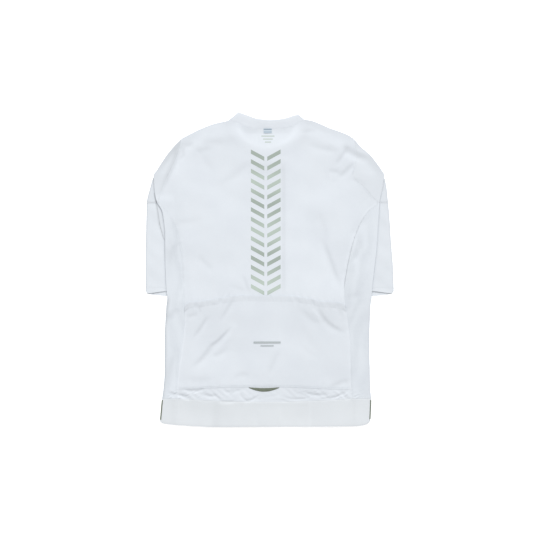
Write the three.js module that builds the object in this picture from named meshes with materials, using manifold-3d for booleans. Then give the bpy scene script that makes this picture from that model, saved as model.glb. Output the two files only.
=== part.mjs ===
// Short-sleeved cycling jersey, laid face down and flat with its sleeves tucked under its sides.
// Millimetres. +X is the viewer's right, +Y runs to the collar, +Z is up and z = 0 is the table.
import * as THREE from 'three';
import Module from 'manifold-3d';

const wasm = await Module();
wasm.setup();
const { lerp, clamp, smoothstep, degToRad } = THREE.MathUtils;

// Cloth
const cloth = 1.0;
const seamGap = 0.3;
const turnRadius = 1.2;
const bodyLoft = 3.4;
const sideRamp = 60;
const shoulderRamp = 40;

// Heights on the garment, from the hem to the shoulder tips
const hemSeam = -296;
const pocketFoot = -275;
const bindingFoot = -93;
const pocketMouth = -85;
const underarm = 154;
const capTop = 295;
const shoulderTip = 300;

// Sleeves: how high the body rides over them, and how gently it climbs there
const sleeveStack = 2.7;
const stackMargin = 16;
const stackRamp = 100;
const stackFoot = { low: -160, high: -66 };
const stackHead = { low: 202, high: 264 };
const pleatRise = 1.6;
const pleatStart = 215;
const stripTop = 232;

// Collar and zip
const collarRise = 1.4;
const zipGap = 5;
const zipRoom = 2.4;
const zipTopRise = 2.2;
const zipTopY = 262;
const zipTopReach = 46;
const tape = { inner: 3.1, outer: 15, foot: -354, head: 273, above: 1.3 };
const chain = { half: 2.6, foot: -350, head: 255.4, above: 1.3, thick: 1.1 };
const slider = { y: 262, long: 12, wide: 8, plate: 0.65, below: 2.55, above: 4.95, post: 1.6 };
const arch = { half: 0.65, window: 1.6, bar: 0.65 };
const pull = { bar: 0.7, armIn: 1.0, armOut: 2.3, arms: 6, plate: 20, wide: 5.6, thick: 0.8, lean: 2.4 };

// Small pieces on the back
const binding = { finer: 3, stand: 1.3, gather: 0.7, gathers: 26 };
const pocketStand = { sewn: 0.3, mouth: 1.1 };
const tab = { left: -48, right: 21, top: -270.2, sag: 1.4, deep: 7.6, stand: 0.5, steps: 10 };
const label = { centre: -3.8, wide: 19, top: 323, high: 8.6, stand: 0.4 };

// Makes a short table of rows with named columns
function table(names, rows) {
  return rows.map((row) => Object.fromEntries(names.map((name, place) => [name, row[place]])));
}

// Reads a column of a table at a place along its key column, in a straight line between rows
function read(rows, key, column, at) {
  if (at <= rows[0][key]) return rows[0][column];
  for (let k = 1; k < rows.length; k += 1) {
    const low = rows[k - 1];
    const high = rows[k];
    if (at <= high[key]) return lerp(low[column], high[column], (at - low[key]) / (high[key] - low[key]));
  }
  return rows[rows.length - 1][column];
}

// The body seen from above: outer edge and back seam at each height. Above the underarm the edge is
// the sleeve's outline and the seam is the armhole.
const cut = table(['y', 'edgeLeft', 'seamLeft', 'seamRight', 'edgeRight'], [
  [-346, -252, -214, 189, 231],
  [-296, -247, -213, 189, 233],
  [-275, -244, -213, 188, 231],
  [-230, -241, -209, 187, 230],
  [-184, -239, -202, 186, 229],
  [-149, -239, -198, 183, 229],
  [-115, -237, -195, 179, 230],
  [-85, -235, -195, 173, 231],
  [-64, -235, -196, 171, 234],
  [-46, -237, -198, 171, 235],
  [0, -239, -200, 177, 240],
  [46, -240, -202, 187, 245],
  [74, -240, -208, 195, 247],
  [104, -242, -217, 207, 249],
  [134, -247, -236, 227, 251],
  [154, -258, -254, 248, 252],
  [166, -262, -252, 236, 254],
  [190, -265, -245, 215, 259],
  [204, -265.5, -240, 199, 261],
  [217, -266, -233, 190, 263],
  [228, -259, -228, 193, 257],
  [244, -249, -221, 196, 246],
  [262, -237, -213, 200, 232],
  [285, -218, -206, 196, 206],
  [295, -208, -204, 194, 198],
  [300, -203, -203, 193, 193],
]);

// The hidden front armholes
const frontArmhole = table(['y', 'left', 'right'], [
  [154, -254, 248],
  [204, -238, 224],
  [262, -212, 203],
  [300, -203, 193],
]);

// The sleeve tubes on the table: outline outside, fold under the body inside
const sleeves = table(['y', 'outerLeft', 'innerLeft', 'innerRight', 'outerRight'], [
  [-46, -285, -150, 150, 285],
  [0, -285, -148, 148, 283.5],
  [60, -284.5, -146, 146, 279],
  [120, -283, -150, 150, 275],
  [154, -282, -175, 172, 272],
  [190, -274, -225, 220, 268],
  [205, -269.5, -243, 238, 265],
  [232, -256.7, -246, 244, 254.5],
]);

// Cuff edges, outer corner to hidden fold: the layer on top is a little shorter
const cuffs = table(['out', 'upper', 'lower'], [
  [150, -50, -60.5],
  [240, -50, -60.5],
  [255, -51.5, -59],
  [279, -54.5, -56],
  [285, -46, -46],
]);

// The underarm pleat, a tongue of upper sleeve that shows beside the left edge of the body
const pleat = table(['y', 'outer', 'inner'], [
  [69, -242, -237],
  [83, -246, -237],
  [104, -252, -240],
  [131, -256, -245],
  [154, -260, -252],
  [166, -262, -255],
  [176, -263.2, -255.5],
]);

// Wavy lines across the back, as rises above a level line
const mouthRises = table(['x', 'rise'], [
  [-195, 0],
  [-180, 6],
  [-160, 8],
  [-114, 16],
  [-86, 21],
  [-50, 24],
  [0, 23],
  [48, 25],
  [70, 19],
  [93, 15],
  [121, 8],
  [173, 0],
]);
const footRises = table(['x', 'rise'], [
  [-213, 0],
  [-160, 2],
  [-91, 5],
  [0, 6],
  [93, 7],
  [128, 5],
  [188, 0],
]);
const hemDip = { middle: -12, half: 201, deep: 7 };

// Top edge of the back: shoulders and collar seam
const backTop = table(['x', 'y'], [
  [-203, 300],
  [-178, 313],
  [-160, 322],
  [-125, 335],
  [-102, 340],
  [-88, 343],
  [-72, 336],
  [-58, 329.5],
  [-40, 325],
  [-6, 323.5],
  [30, 324.5],
  [52, 329],
  [66, 336],
  [78, 345],
  [98, 341],
  [116, 334],
  [139, 324],
  [162, 316],
  [181, 308],
  [193, 300],
]);

// Front half of the collar: where its seam and its free edge lie, from the zip to the shoulder
const frontCollar = table(['seamX', 'seamY', 'freeX', 'freeY'], [
  [5, 247, 5, 275],
  [23, 250, 21, 277],
  [41, 256.5, 36, 282.5],
  [58, 269, 50, 294],
  [66, 281, 57, 305],
  [76, 296, 64, 318],
  [84, 318, 67.5, 340],
  [88, 343, 68, 361],
]);
const neckRight = { seam: 78 / 88, free: 65 / 68, seamRise: 2, freeDrop: -5 };

// Free edge of the collar at the back, from peak to peak
const backCollar = table(['x', 'y'], [
  [-68, 361],
  [-56, 356],
  [-45, 352],
  [-31, 347],
  [-17, 345],
  [-3, 343.5],
  [13, 344],
  [29, 346],
  [45, 350],
  [57, 354],
  [65, 356],
]);

// Bottom edge of the hem band
const hemEdge = table(['x', 'y'], [
  [-252, -346],
  [-245, -353],
  [-229, -355.5],
  [-194, -358],
  [-125, -361],
  [0, -360.5],
  [140, -360],
  [197, -359],
  [213, -357.5],
  [222, -355],
  [228, -351],
  [231, -346],
]);

// The main folds of the back: three points along each, half width, and height (below 0 is a trough)
const folds = table(['x1', 'y1', 'x2', 'y2', 'x3', 'y3', 'half', 'height'], [
  [-86, -128, -132, -174, -178, -226, 15, -3.0],
  [-112, -128, -150, -172, -186, -212, 13, 1.5],
  [-84, -74, -102, -96, -116, -120, 13, -1.8],
  [-144, -100, -160, -126, -178, -152, 13, -1.6],
  [108, -80, 138, -122, 176, -141, 14, -3.0],
  [100, -92, 122, -122, 150, -146, 12, 1.8],
  [68, -76, 94, -108, 121, -124, 12, -1.6],
  [18, -196, 8, -221, -3, -248, 13, -1.4],
  [142, -268, 162, -256, 186, -250, 12, -1.6],
  [112, 155, 128, 60, 160, -38, 18, -2.2],
  [-160, 46, -146, 19, -130, 0, 14, -1.5],
  [-80, 38, -56, -12, -46, -56, 14, -1.4],
  [-170, 275, -141, 283, -112, 289, 12, -1.6],
  [96, 289, 128, 281, 160, 273, 12, -1.6],
  [150, 252, 174, 282, 226, 257, 12, -2.8],
  [133, 231, 170, 224, 200, 252, 12, -2.4],
  [150, 208, 172, 234, 196, 232, 10, 1.6],
  [-54, 242, -76, 223, -112, 205, 14, -1.6],
  [-206, 297, -214, 256, -247, 196, 11, -2.6],
  [-206, 262, -222, 240, -236, 214, 9, 1.4],
  [-228, -96, -220, -88, -212, -84, 11, -1.8],
  [-226, 106, -216, 66, -232, -16, 9, -1.6],
  [204, 84, 200, 30, 190, -12, 9, -1.6],
  [-178, -284, -160, -281, -120, -292, 8, -1.1],
  [24, -288, 60, -280, 96, -286, 8, -1.0],
]);

// Height of one fold at a place: a soft ridge or trough that runs out at both ends
function foldHeight(fold, x, y) {
  const points = [[fold.x1, fold.y1], [fold.x2, fold.y2], [fold.x3, fold.y3]];
  let nearest = Infinity;
  let along = 0;
  for (let k = 0; k < 2; k += 1) {
    const [ax, ay] = points[k];
    const [bx, by] = points[k + 1];
    const squared = (bx - ax) ** 2 + (by - ay) ** 2;
    const part = clamp(((x - ax) * (bx - ax) + (y - ay) * (by - ay)) / squared, 0, 1);
    const away = Math.hypot(x - lerp(ax, bx, part), y - lerp(ay, by, part));
    if (away < nearest) {
      nearest = away;
      along = (k + part) / 2;
    }
  }
  const ends = smoothstep(along, 0, 0.3) * smoothstep(1 - along, 0, 0.3);
  return fold.height * ends * Math.exp(-((nearest / fold.half) ** 2));
}

// Underside of the layer on the table, which climbs over the sleeves, the pleat and the zip's slider
function lift(x, y) {
  const inner = Math.abs(read(sleeves, 'y', x < 0 ? 'innerLeft' : 'innerRight', y));
  const full = inner - stackMargin;
  const across = smoothstep(Math.abs(x), full - stackRamp, full);
  const up = smoothstep(y, stackFoot.low, stackFoot.high);
  const down = 1 - smoothstep(y, stackHead.low, stackHead.high);
  const beside = x < 0 ? smoothstep(-x, pleatStart, pleatStart + 15) : 0;
  const besideSpan = smoothstep(y, 5, 65) * (1 - smoothstep(y, 154, 176));
  const neckSpan = 1 - smoothstep(Math.abs(y - zipTopY), 8, zipTopReach);
  const neck = neckSpan * (1 - smoothstep(Math.abs(x), 22, 60));
  return sleeveStack * across * up * down + pleatRise * beside * besideSpan + zipTopRise * neck;
}

// Upper face of the layer on top
function topHeight(x, y) {
  const left = x - read(cut, 'y', 'edgeLeft', y) - turnRadius;
  const right = read(cut, 'y', 'edgeRight', y) - turnRadius - x;
  const edge = Math.max(0, Math.min(left, right));
  const below = Math.max(0, read(backTop, 'x', 'y', x) - y);
  const dome = smoothstep(edge, 0, sideRamp) * smoothstep(below, 0, shoulderRamp);
  const hemFall = 1 - 0.25 * smoothstep(-300 - y, 0, 50);
  const waves = folds.reduce((sum, fold) => sum + foldHeight(fold, x, y), 0);
  const fade = smoothstep(edge, 0, 14) * smoothstep(below, -1, 12);
  const overZip = zipRoom * (1 - smoothstep(Math.abs(x), 20, 34));
  const stand = Math.max(overZip * smoothstep(below, 0, 30), bodyLoft * dome * hemFall + waves * fade, 0);
  return lift(x, y) + 2 * turnRadius + stand;
}

// Guide lines that the rows of a panel follow, each with how far it bends away from level
const hemBend = (x) => -hemDip.deep * Math.max(0, 1 - ((x - hemDip.middle) / hemDip.half) ** 2);
const backGuides = [
  { at: hemSeam, bend: hemBend },
  { at: pocketFoot, bend: (x) => read(footRises, 'x', 'rise', x) },
  { at: pocketMouth, bend: (x) => read(mouthRises, 'x', 'rise', x) },
  { at: underarm, bend: () => 0 },
  { at: shoulderTip, bend: (x) => read(backTop, 'x', 'y', x) - shoulderTip },
];
const frontGuides = [
  { at: hemSeam, bend: () => 0 },
  { at: underarm, bend: () => 0 },
  { at: shoulderTip, bend: (x) => frontTop(x) - shoulderTip },
];

// Top edge of a front: neckline beside the zip, then the shoulder
function frontTop(x) {
  const scale = x < 0 ? 1 : neckRight.seam;
  const out = Math.abs(x) / scale;
  if (out >= 88) return read(backTop, 'x', 'y', x);
  const rise = x < 0 ? 0 : neckRight.seamRise * smoothstep(out, 60, 88);
  return read(frontCollar, 'seamX', 'seamY', out) + rise;
}

function bent(guides, x, level) {
  let k = 1;
  while (k < guides.length - 1 && level > guides[k].at) k += 1;
  const low = guides[k - 1];
  const high = guides[k];
  return level + lerp(low.bend(x), high.bend(x), smoothstep(level, low.at, high.at));
}

// Evenly spaced values between marks: spaced([0, 1, 3], [2, 4]) gives 2 steps and then 4
function spaced(marks, steps) {
  const values = [marks[0]];
  steps.forEach((count, k) => {
    for (let n = 1; n <= count; n += 1) values.push(lerp(marks[k], marks[k + 1], n / count));
  });
  return values;
}

const levels = spaced([hemSeam, pocketFoot, bindingFoot, pocketMouth, underarm, capTop, shoulderTip],
  [2, 10, 1, 12, 7, 1]);
const backColumns = spaced([0, 0.29, 0.71, 1], [7, 12, 7]);
const frontColumns = spaced([0, 0.58, 0.66, 1], [4, 1, 4]);

const point = (x, y, z) => new THREE.Vector3(x, y, z);
const dropped = (grid, depth) => grid.map((row) => row.map((at) => point(at.x, at.y, at.z - depth)));

// Closes two skins of points, outer and inner, into one solid wall. A ring's columns meet end to end.
function wall(outer, inner, ring = false) {
  const rows = outer.length;
  const columns = outer[0].length;
  const span = ring ? columns : columns - 1;
  const last = rows - 1;
  const faces = [];
  const at = (skin, row, column) => (skin * rows + row) * columns + (column % columns);
  const quad = (a, b, c, d) => faces.push([a, b, c], [a, c, d]);
  for (let c = 0; c < span; c += 1) {
    for (let r = 0; r < last; r += 1) {
      quad(at(0, r, c), at(0, r, c + 1), at(0, r + 1, c + 1), at(0, r + 1, c));
      quad(at(1, r, c), at(1, r + 1, c), at(1, r + 1, c + 1), at(1, r, c + 1));
    }
    quad(at(0, 0, c), at(1, 0, c), at(1, 0, c + 1), at(0, 0, c + 1));
    quad(at(0, last, c), at(0, last, c + 1), at(1, last, c + 1), at(1, last, c));
  }
  for (let r = 0; r < last && !ring; r += 1) {
    quad(at(0, r, 0), at(0, r + 1, 0), at(1, r + 1, 0), at(1, r, 0));
    quad(at(0, r, span), at(1, r, span), at(1, r + 1, span), at(0, r + 1, span));
  }
  return closedGeometry([...outer.flat(), ...inner.flat()], faces);
}

// Indexed geometry whose faces point out
function closedGeometry(points, faces) {
  const volume = faces.reduce((sum, [a, b, c]) => {
    return sum + points[a].dot(points[b].clone().cross(points[c]));
  }, 0);
  const index = faces.flatMap(([a, b, c]) => (volume > 0 ? [a, b, c] : [a, c, b]));
  const geometry = new THREE.BufferGeometry();
  const places = points.flatMap((at) => at.toArray());
  geometry.setAttribute('position', new THREE.Float32BufferAttribute(places, 3));
  geometry.setIndex(index);
  geometry.computeVertexNormals();
  return geometry;
}

// Joins closed geometries into one solid
function joined(...geometries) {
  const solids = geometries.map((geometry) => new wasm.Manifold(new wasm.Mesh({
    numProp: 3,
    vertProperties: geometry.attributes.position.array,
    triVerts: new Uint32Array(geometry.index.array),
  })));
  const mesh = solids.reduce((whole, next) => whole.add(next)).getMesh();
  const geometry = new THREE.BufferGeometry();
  geometry.setAttribute('position', new THREE.Float32BufferAttribute(mesh.vertProperties, 3));
  geometry.setIndex(new THREE.Uint32BufferAttribute(mesh.triVerts, 1));
  geometry.computeVertexNormals();
  return geometry;
}

// Outer and inner points of a layer. The turn is the way its outer face looks: 90 up, 270 down,
// 180 and 0 outward at the left and right folds.
function layerPair(x, y, turn, extra = 0) {
  const up = Math.sin(degToRad(turn));
  const side = Math.cos(degToRad(turn));
  const middle = up > 0.99 ? topHeight(x, y) + extra - turnRadius : lift(x, y) + turnRadius;
  const inside = turnRadius - cloth;
  return [
    point(x + side * turnRadius, y, middle + up * turnRadius),
    point(x + side * inside, y, middle + up * inside),
  ];
}

// Wall through rows of outer and inner pairs
function pairWall(rows, ring = false) {
  const skin = (side) => rows.map((row) => row.map((pair) => pair[side]));
  return wall(skin(0), skin(1), ring);
}

// Wall through sections, each a list of { x, y, turn } stations
function layerWall(sections) {
  return pairWall(sections.map((section) => section.map(({ x, y, turn }) => layerPair(x, y, turn))));
}

// Stations of a piece that wraps an edge of the garment, from its seam on top to its seam below
const wrapTurns = [90, 135, 180, 225, 270];
function wrapSection(y, topSeam, edge, underSeam) {
  const outward = Math.sign(edge);
  const centre = edge - outward * turnRadius;
  const turns = wrapTurns.map((turn) => (outward < 0 ? turn : 180 - turn));
  const onTop = [0, 0.35, 0.7].map((part) => ({ x: lerp(topSeam, centre, part), y, turn: 90 }));
  const round = turns.map((turn) => ({ x: centre, y, turn: turn === -90 ? 270 : turn }));
  const under = [0.5, 0].map((part) => ({ x: lerp(underSeam, centre, part), y, turn: 270 }));
  return [...onTop, ...round, ...under];
}

// Back panel, and what is laid on it
const backSkin = levels.map((level) => {
  const left = read(cut, 'y', 'seamLeft', level);
  const right = read(cut, 'y', 'seamRight', level);
  return backColumns.map((part) => {
    const x = lerp(left, right, part);
    const y = bent(backGuides, x, level);
    return point(x, y, topHeight(x, y));
  });
});
const backPanel = wall(backSkin, dropped(backSkin, cloth));

// A point moved out from the back's own faces, by its part across and its level
function onBack(part, level, stand) {
  const row = Math.max(0, levels.findIndex((next) => next >= level - 1e-9) - 1);
  const column = Math.max(0, backColumns.findIndex((next) => next >= part - 1e-9) - 1);
  const up = (level - levels[row]) / (levels[row + 1] - levels[row]);
  const across = (part - backColumns[column]) / (backColumns[column + 1] - backColumns[column]);
  const a = backSkin[row][column];
  const c = backSkin[row + 1][column + 1];
  const b = across > up ? backSkin[row][column + 1] : backSkin[row + 1][column];
  const [toB, toC] = across > up ? [across - up, up] : [up - across, across];
  const at = a.clone().addScaledVector(b.clone().sub(a), toB).addScaledVector(c.clone().sub(a), toC);
  return at.add(point(0, 0, stand));
}

// The part across and level of a place on the back
function placeOnBack(x, y) {
  let low = hemSeam;
  let high = shoulderTip;
  for (let k = 0; k < 30; k += 1) {
    const middle = (low + high) / 2;
    if (bent(backGuides, x, middle) < y) low = middle;
    else high = middle;
  }
  const left = read(cut, 'y', 'seamLeft', low);
  const right = read(cut, 'y', 'seamRight', low);
  return { part: (x - left) / (right - left), level: low };
}

// A small piece on the back, through rows of places
function laidOnBack(rows, stand, thick = cloth) {
  const skin = rows.map((row) => row.map(([x, y]) => {
    const { part, level } = placeOnBack(x, y);
    return onBack(part, level, stand + thick);
  }));
  return wall(skin, dropped(skin, thick));
}

// How far the pocket stands off the back, from its sewn foot to its mouth
function standAt(level) {
  const open = smoothstep(level, pocketFoot, pocketFoot + 90);
  return lerp(pocketStand.sewn, pocketStand.mouth, open);
}

function pocketPanel() {
  const inset = 0.0007;
  const rows = levels.filter((level) => level >= pocketFoot && level <= bindingFoot);
  const skin = rows.map((level) => backColumns.map((part) => {
    return onBack(clamp(part, inset, 1 - inset), level, standAt(level) + cloth);
  }));
  return wall(skin, dropped(skin, cloth));
}

function pocketBinding() {
  const counts = backColumns.slice(1).map(() => binding.finer);
  const columns = spaced(backColumns, counts);
  const rows = [bindingFoot + seamGap, (bindingFoot + pocketMouth) / 2, pocketMouth];
  const skin = rows.map((level, row) => columns.map((part) => {
    const gathered = binding.gather * (0.5 - 0.5 * Math.cos(2 * Math.PI * part * binding.gathers));
    return onBack(part, level, binding.stand + cloth + gathered * (row === 1 ? 1 : 0.4));
  }));
  return wall(skin, dropped(skin, cloth));
}

function crescentTab() {
  const columns = spaced([tab.left, tab.right], [tab.steps]);
  const rows = [1, 0.5, 0].map((part) => columns.map((x) => {
    const arch = Math.sin(Math.PI * (x - tab.left) / (tab.right - tab.left));
    return [x, tab.top - tab.sag * arch - part * (0.8 + tab.deep * arch ** 0.9)];
  }));
  return laidOnBack(rows, tab.stand);
}

function neckLabel() {
  const columns = spaced([label.centre - label.wide / 2, label.centre + label.wide / 2], [2]);
  const rows = [label.top - label.high, label.top].map((y) => columns.map((x) => [x, y]));
  return laidOnBack(rows, label.stand);
}

// Side panel: from its seam on the back, round the body's edge, to its hidden seam on the front
function sidePanel(side) {
  const outward = side === 'Left' ? -1 : 1;
  const rows = levels.filter((level) => level <= underarm);
  return layerWall(rows.map((level) => {
    const y = level === underarm ? level - seamGap : level;
    const seam = read(cut, 'y', `seam${side}`, level) + outward * seamGap;
    return wrapSection(y, seam, read(cut, 'y', `edge${side}`, level), seam);
  }));
}

// Half of the front, on the table, from its side seam and armhole to the zip
function frontPanel(side) {
  const outward = side === 'Left' ? -1 : 1;
  const skin = levels.map((level) => {
    const below = read(cut, 'y', `seam${side}`, level);
    const above = read(frontArmhole, 'y', side.toLowerCase(), level);
    const seam = level > underarm ? above : below;
    return frontColumns.map((part) => {
      const x = lerp(seam, outward * zipGap, part);
      const y = bent(frontGuides, x, level);
      return point(x, y, lift(x, y) + cloth);
    });
  });
  const zipEdge = skin.map((row) => row[row.length - 1]);
  return { geometry: wall(skin, dropped(skin, cloth)), neck: skin[skin.length - 1], zipEdge };
}

// A flattened tube lying on the table: one section of stations all round
function tubeSection(inner, outer, yOf) {
  const outward = Math.sign(outer);
  const start = inner + outward * turnRadius;
  const end = outer - outward * turnRadius;
  const across = [0, 0.3, 0.6, 0.85, 1];
  const outerTurns = [45, 0, -45];
  const innerTurns = [225, 180, 135];
  const stations = [
    ...across.map((part) => ({ x: lerp(start, end, part), turn: 90 })),
    ...outerTurns.map((turn) => ({ x: end, turn })),
    ...[...across].reverse().map((part) => ({ x: lerp(start, end, part), turn: -90 })),
    ...innerTurns.map((turn) => ({ x: start, turn })),
  ];
  return stations.map(({ x, turn }) => {
    const up = Math.sin(degToRad(turn));
    const side = Math.cos(degToRad(turn)) * outward;
    const place = (radius) => point(x + side * radius, yOf(x, up), turnRadius + up * radius);
    return [place(turnRadius), place(turnRadius - cloth)];
  });
}

// Lower sleeve: a flattened tube whose inner part lies under the body
function sleeveBand(side) {
  const rows = spaced([-46, 0, underarm - seamGap], [2, 8]);
  return pairWall(rows.map((level, row) => {
    const inner = read(sleeves, 'y', `inner${side}`, level);
    const outer = read(sleeves, 'y', `outer${side}`, level);
    return tubeSection(inner, outer, (x, up) => {
      if (row > 0) return level;
      const upper = read(cuffs, 'out', 'upper', Math.abs(x));
      const lower = read(cuffs, 'out', 'lower', Math.abs(x));
      return lerp(lower, upper, (up + 1) / 2);
    });
  }), true);
}

// Upper sleeve: the cap that wraps the garment's edge, the top of the sleeve tube and, on the left,
// the tongue of the underarm pleat
function sleeveUpper(side) {
  const outward = side === 'Left' ? -1 : 1;
  const rows = levels.filter((level) => level >= underarm && level <= capTop);
  const cap = layerWall(rows.map((level) => {
    const topSeam = read(cut, 'y', `seam${side}`, level) + outward * seamGap;
    const underSeam = read(frontArmhole, 'y', side.toLowerCase(), level) + outward * seamGap;
    return wrapSection(level, topSeam, read(cut, 'y', `edge${side}`, level), underSeam);
  }));
  const strip = pairWall(spaced([underarm, 190, stripTop], [2, 3]).map((level) => {
    const inner = read(sleeves, 'y', `inner${side}`, level);
    const outer = read(sleeves, 'y', `outer${side}`, level);
    return tubeSection(inner, outer, () => level);
  }), true);
  if (side === 'Right') return joined(cap, strip);
  const tongue = pleat.map(({ y, outer, inner }) => {
    return [outer, inner].map((x) => point(x, y, sleeveStack + cloth));
  });
  return joined(cap, strip, wall(tongue, dropped(tongue, cloth)));
}

// Hem band: a flattened ring, open at the zip
function hemBand() {
  const topParts = spaced([-1, 1], [24]);
  const underParts = spaced([0, 1], [5]);
  return layerWall([0, 0.5, 1].map((down) => {
    const level = lerp(hemSeam, -346, down);
    const left = read(cut, 'y', 'edgeLeft', level) + turnRadius;
    const right = read(cut, 'y', 'edgeRight', level) - turnRadius;
    const station = (x, turn) => {
      const seam = hemSeam - seamGap + (turn === 90 ? hemBend(x) : 0);
      return { x, y: lerp(seam, read(hemEdge, 'x', 'y', x), down), turn };
    };
    return [
      ...underParts.map((part) => station(lerp(-zipGap, left, part), 270)),
      ...[225, 180, 135].map((turn) => station(left, turn)),
      ...topParts.map((part) => station(part < 0 ? -part * left : part * right, 90)),
      ...[45, 0, 315].map((turn) => station(right, turn)),
      ...[...underParts].reverse().map((part) => station(lerp(zipGap, right, part), 270)),
    ];
  }));
}

// Collar: a low stand from the zip round the back of the neck, made on the panels' own neck points
function collar(frontLeft, frontRight) {
  const ribs = [];
  const front = (at) => {
    const scale = at.x < 0 ? 1 : neckRight.seam;
    const out = Math.abs(at.x) / scale;
    const free = at.x < 0 ? -1 : neckRight.free;
    const drop = at.x < 0 ? 0 : neckRight.freeDrop * smoothstep(out, 60, 88);
    const freeX = free * read(frontCollar, 'seamX', 'freeX', out);
    const keep = Math.abs(freeX) < zipGap ? Math.sign(freeX) * zipGap : freeX;
    return { foot: at, head: [keep, read(frontCollar, 'seamX', 'freeY', out) + drop] };
  };
  const isNeck = (at) => Math.abs(at.x) <= (at.x < 0 ? 88 : 78) + 1.5;
  const left = frontLeft.neck.filter(isNeck).map(front);
  const right = frontRight.neck.filter(isNeck).map(front);
  const backRow = backSkin[backSkin.length - 1];
  const back = backRow.slice(7, 20).map((at) => {
    const across = (at.x - backRow[7].x) / (backRow[19].x - backRow[7].x);
    const x = lerp(backCollar[0].x, backCollar[backCollar.length - 1].x, across);
    return { foot: at, head: [x, read(backCollar, 'x', 'y', x)], across };
  });
  left.reverse().forEach((rib) => ribs.push({ ...rib, turn: 270, across: 0 }));
  [225, 180, 135].forEach((turn) => ribs.push({ ...back[0], turn, across: 0 }));
  back.forEach((rib) => ribs.push({ ...rib, turn: 90 }));
  [45, 0, 315].forEach((turn) => ribs.push({ ...back[12], turn, across: 0 }));
  right.forEach((rib) => ribs.push({ ...rib, turn: 270, across: 0 }));
  const pairs = [0, 0.5, 1].map((high) => ribs.map(({ foot, head, turn, across }) => {
    const length = Math.hypot(head[0] - foot.x, head[1] - foot.y);
    const part = lerp(seamGap / length, 1, high);
    const extra = collarRise * high * Math.sin(Math.PI * across);
    return layerPair(lerp(foot.x, head[0], part), lerp(foot.y, head[1], part), turn, extra);
  }));
  return pairWall(pairs);
}

// A strip of the zip, on the inside of the fronts, through the fronts' own rows
function zipStrip(edges, from, to, foot, head, above, thick) {
  const bent = edges.map((at) => at.y).filter((y) => y > zipTopY - zipTopReach - 24 && y < head - 6);
  const rows = [foot, ...bent, head];
  const skin = rows.map((y) => [from, to].map((x) => point(x, y, lift(0, y) + above + thick)));
  return wall(skin, dropped(skin, thick));
}

// Shares the corners of a box or an extrusion, which come apart, so that it is closed
function closed(geometry) {
  const raw = (geometry.index ? geometry.toNonIndexed() : geometry).attributes.position;
  const points = [];
  const places = new Map();
  const corner = (k) => {
    const at = point(raw.getX(k), raw.getY(k), raw.getZ(k));
    const key = at.toArray().map((value) => value.toFixed(4)).join();
    if (!places.has(key)) {
      places.set(key, points.length);
      points.push(at);
    }
    return places.get(key);
  };
  const faces = [];
  for (let k = 0; k < raw.count; k += 3) faces.push([corner(k), corner(k + 1), corner(k + 2)]);
  return closedGeometry(points, faces.filter(([a, b, c]) => a !== b && b !== c && a !== c));
}

function block(wide, deep, high, x, y, z) {
  return closed(new THREE.BoxGeometry(wide, deep, high).translate(x, y, z));
}

// Slider: two plates joined by a post, with the arch that holds the pull tab on its outer face
const archY = slider.y - 1.5;
const barZ = slider.below - arch.window / 2;
function zipSlider() {
  const middle = (slider.below + slider.above) / 2 + slider.plate / 2;
  const plate = (z) => block(slider.wide, slider.long, slider.plate, 0, slider.y, z + slider.plate / 2);
  const postHigh = slider.above - slider.below;
  const post = block(slider.post, 3, postHigh, 0, slider.y + slider.long / 2 - 1.6, middle);
  const legHigh = arch.window + arch.bar + 0.1;
  const legZ = slider.below + 0.1 - legHigh / 2;
  const reach = arch.window / 2 + arch.bar / 2;
  const legs = [-reach, reach].map((y) => block(2 * arch.half, arch.bar, legHigh, 0, archY + y, legZ));
  const barLow = slider.below - arch.window - arch.bar / 2;
  const bridge = block(2 * arch.half, 2 * reach + arch.bar, arch.bar, 0, archY, barLow);
  return joined(plate(slider.below), plate(slider.above), post, ...legs, bridge);
}

// Pull tab in its own frame: crossbar on the axis, two arms, then the plate, along -Y
function zipPull() {
  const crossbar = block(2 * pull.armOut, pull.bar, pull.bar, 0, 0, 0);
  const armMiddle = (pull.armIn + pull.armOut) / 2;
  const armLong = pull.arms + pull.bar / 2;
  const arms = [-armMiddle, armMiddle].map((x) => {
    return block(pull.armOut - pull.armIn, armLong, pull.bar, x, pull.bar / 2 - armLong / 2, 0);
  });
  const outline = new THREE.Shape();
  const half = pull.wide / 2;
  const far = -pull.arms - pull.plate;
  outline.moveTo(-pull.armOut, -pull.arms + 0.4);
  outline.lineTo(-half, -pull.arms - 3);
  outline.lineTo(-half, far + half);
  outline.absarc(0, far + half, half, Math.PI, 2 * Math.PI, false);
  outline.lineTo(half, -pull.arms - 3);
  outline.lineTo(pull.armOut, -pull.arms + 0.4);
  const settings = { depth: pull.thick, bevelEnabled: false, curveSegments: 8 };
  const body = new THREE.ExtrudeGeometry(outline, settings);
  body.translate(0, 0, -pull.thick / 2);
  return joined(crossbar, ...arms, closed(body));
}

// Materials
function finish(color, roughness, metalness = 0) {
  return new THREE.MeshStandardMaterial({ color, roughness, metalness });
}
const finishes = {
  body: finish(0xe4eaf0, 0.85),
  side: finish(0xdbe3eb, 0.85),
  sleeve: finish(0xe6ecf1, 0.7),
  collar: finish(0xe2e8ee, 0.8),
  gripper: finish(0xe0e4e6, 0.75),
  binding: finish(0xe8edf1, 0.8),
  reflective: finish(0x66705f, 0.45),
  label: finish(0x93a9bb, 0.6),
  zip: finish(0xdfe4e8, 0.6),
  metal: finish(0xb9bdc1, 0.35, 0.8),
};

const jersey = new THREE.Group();
function add(name, geometry, material) {
  const mesh = new THREE.Mesh(geometry, material);
  mesh.name = name;
  jersey.add(mesh);
  return mesh;
}

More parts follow.
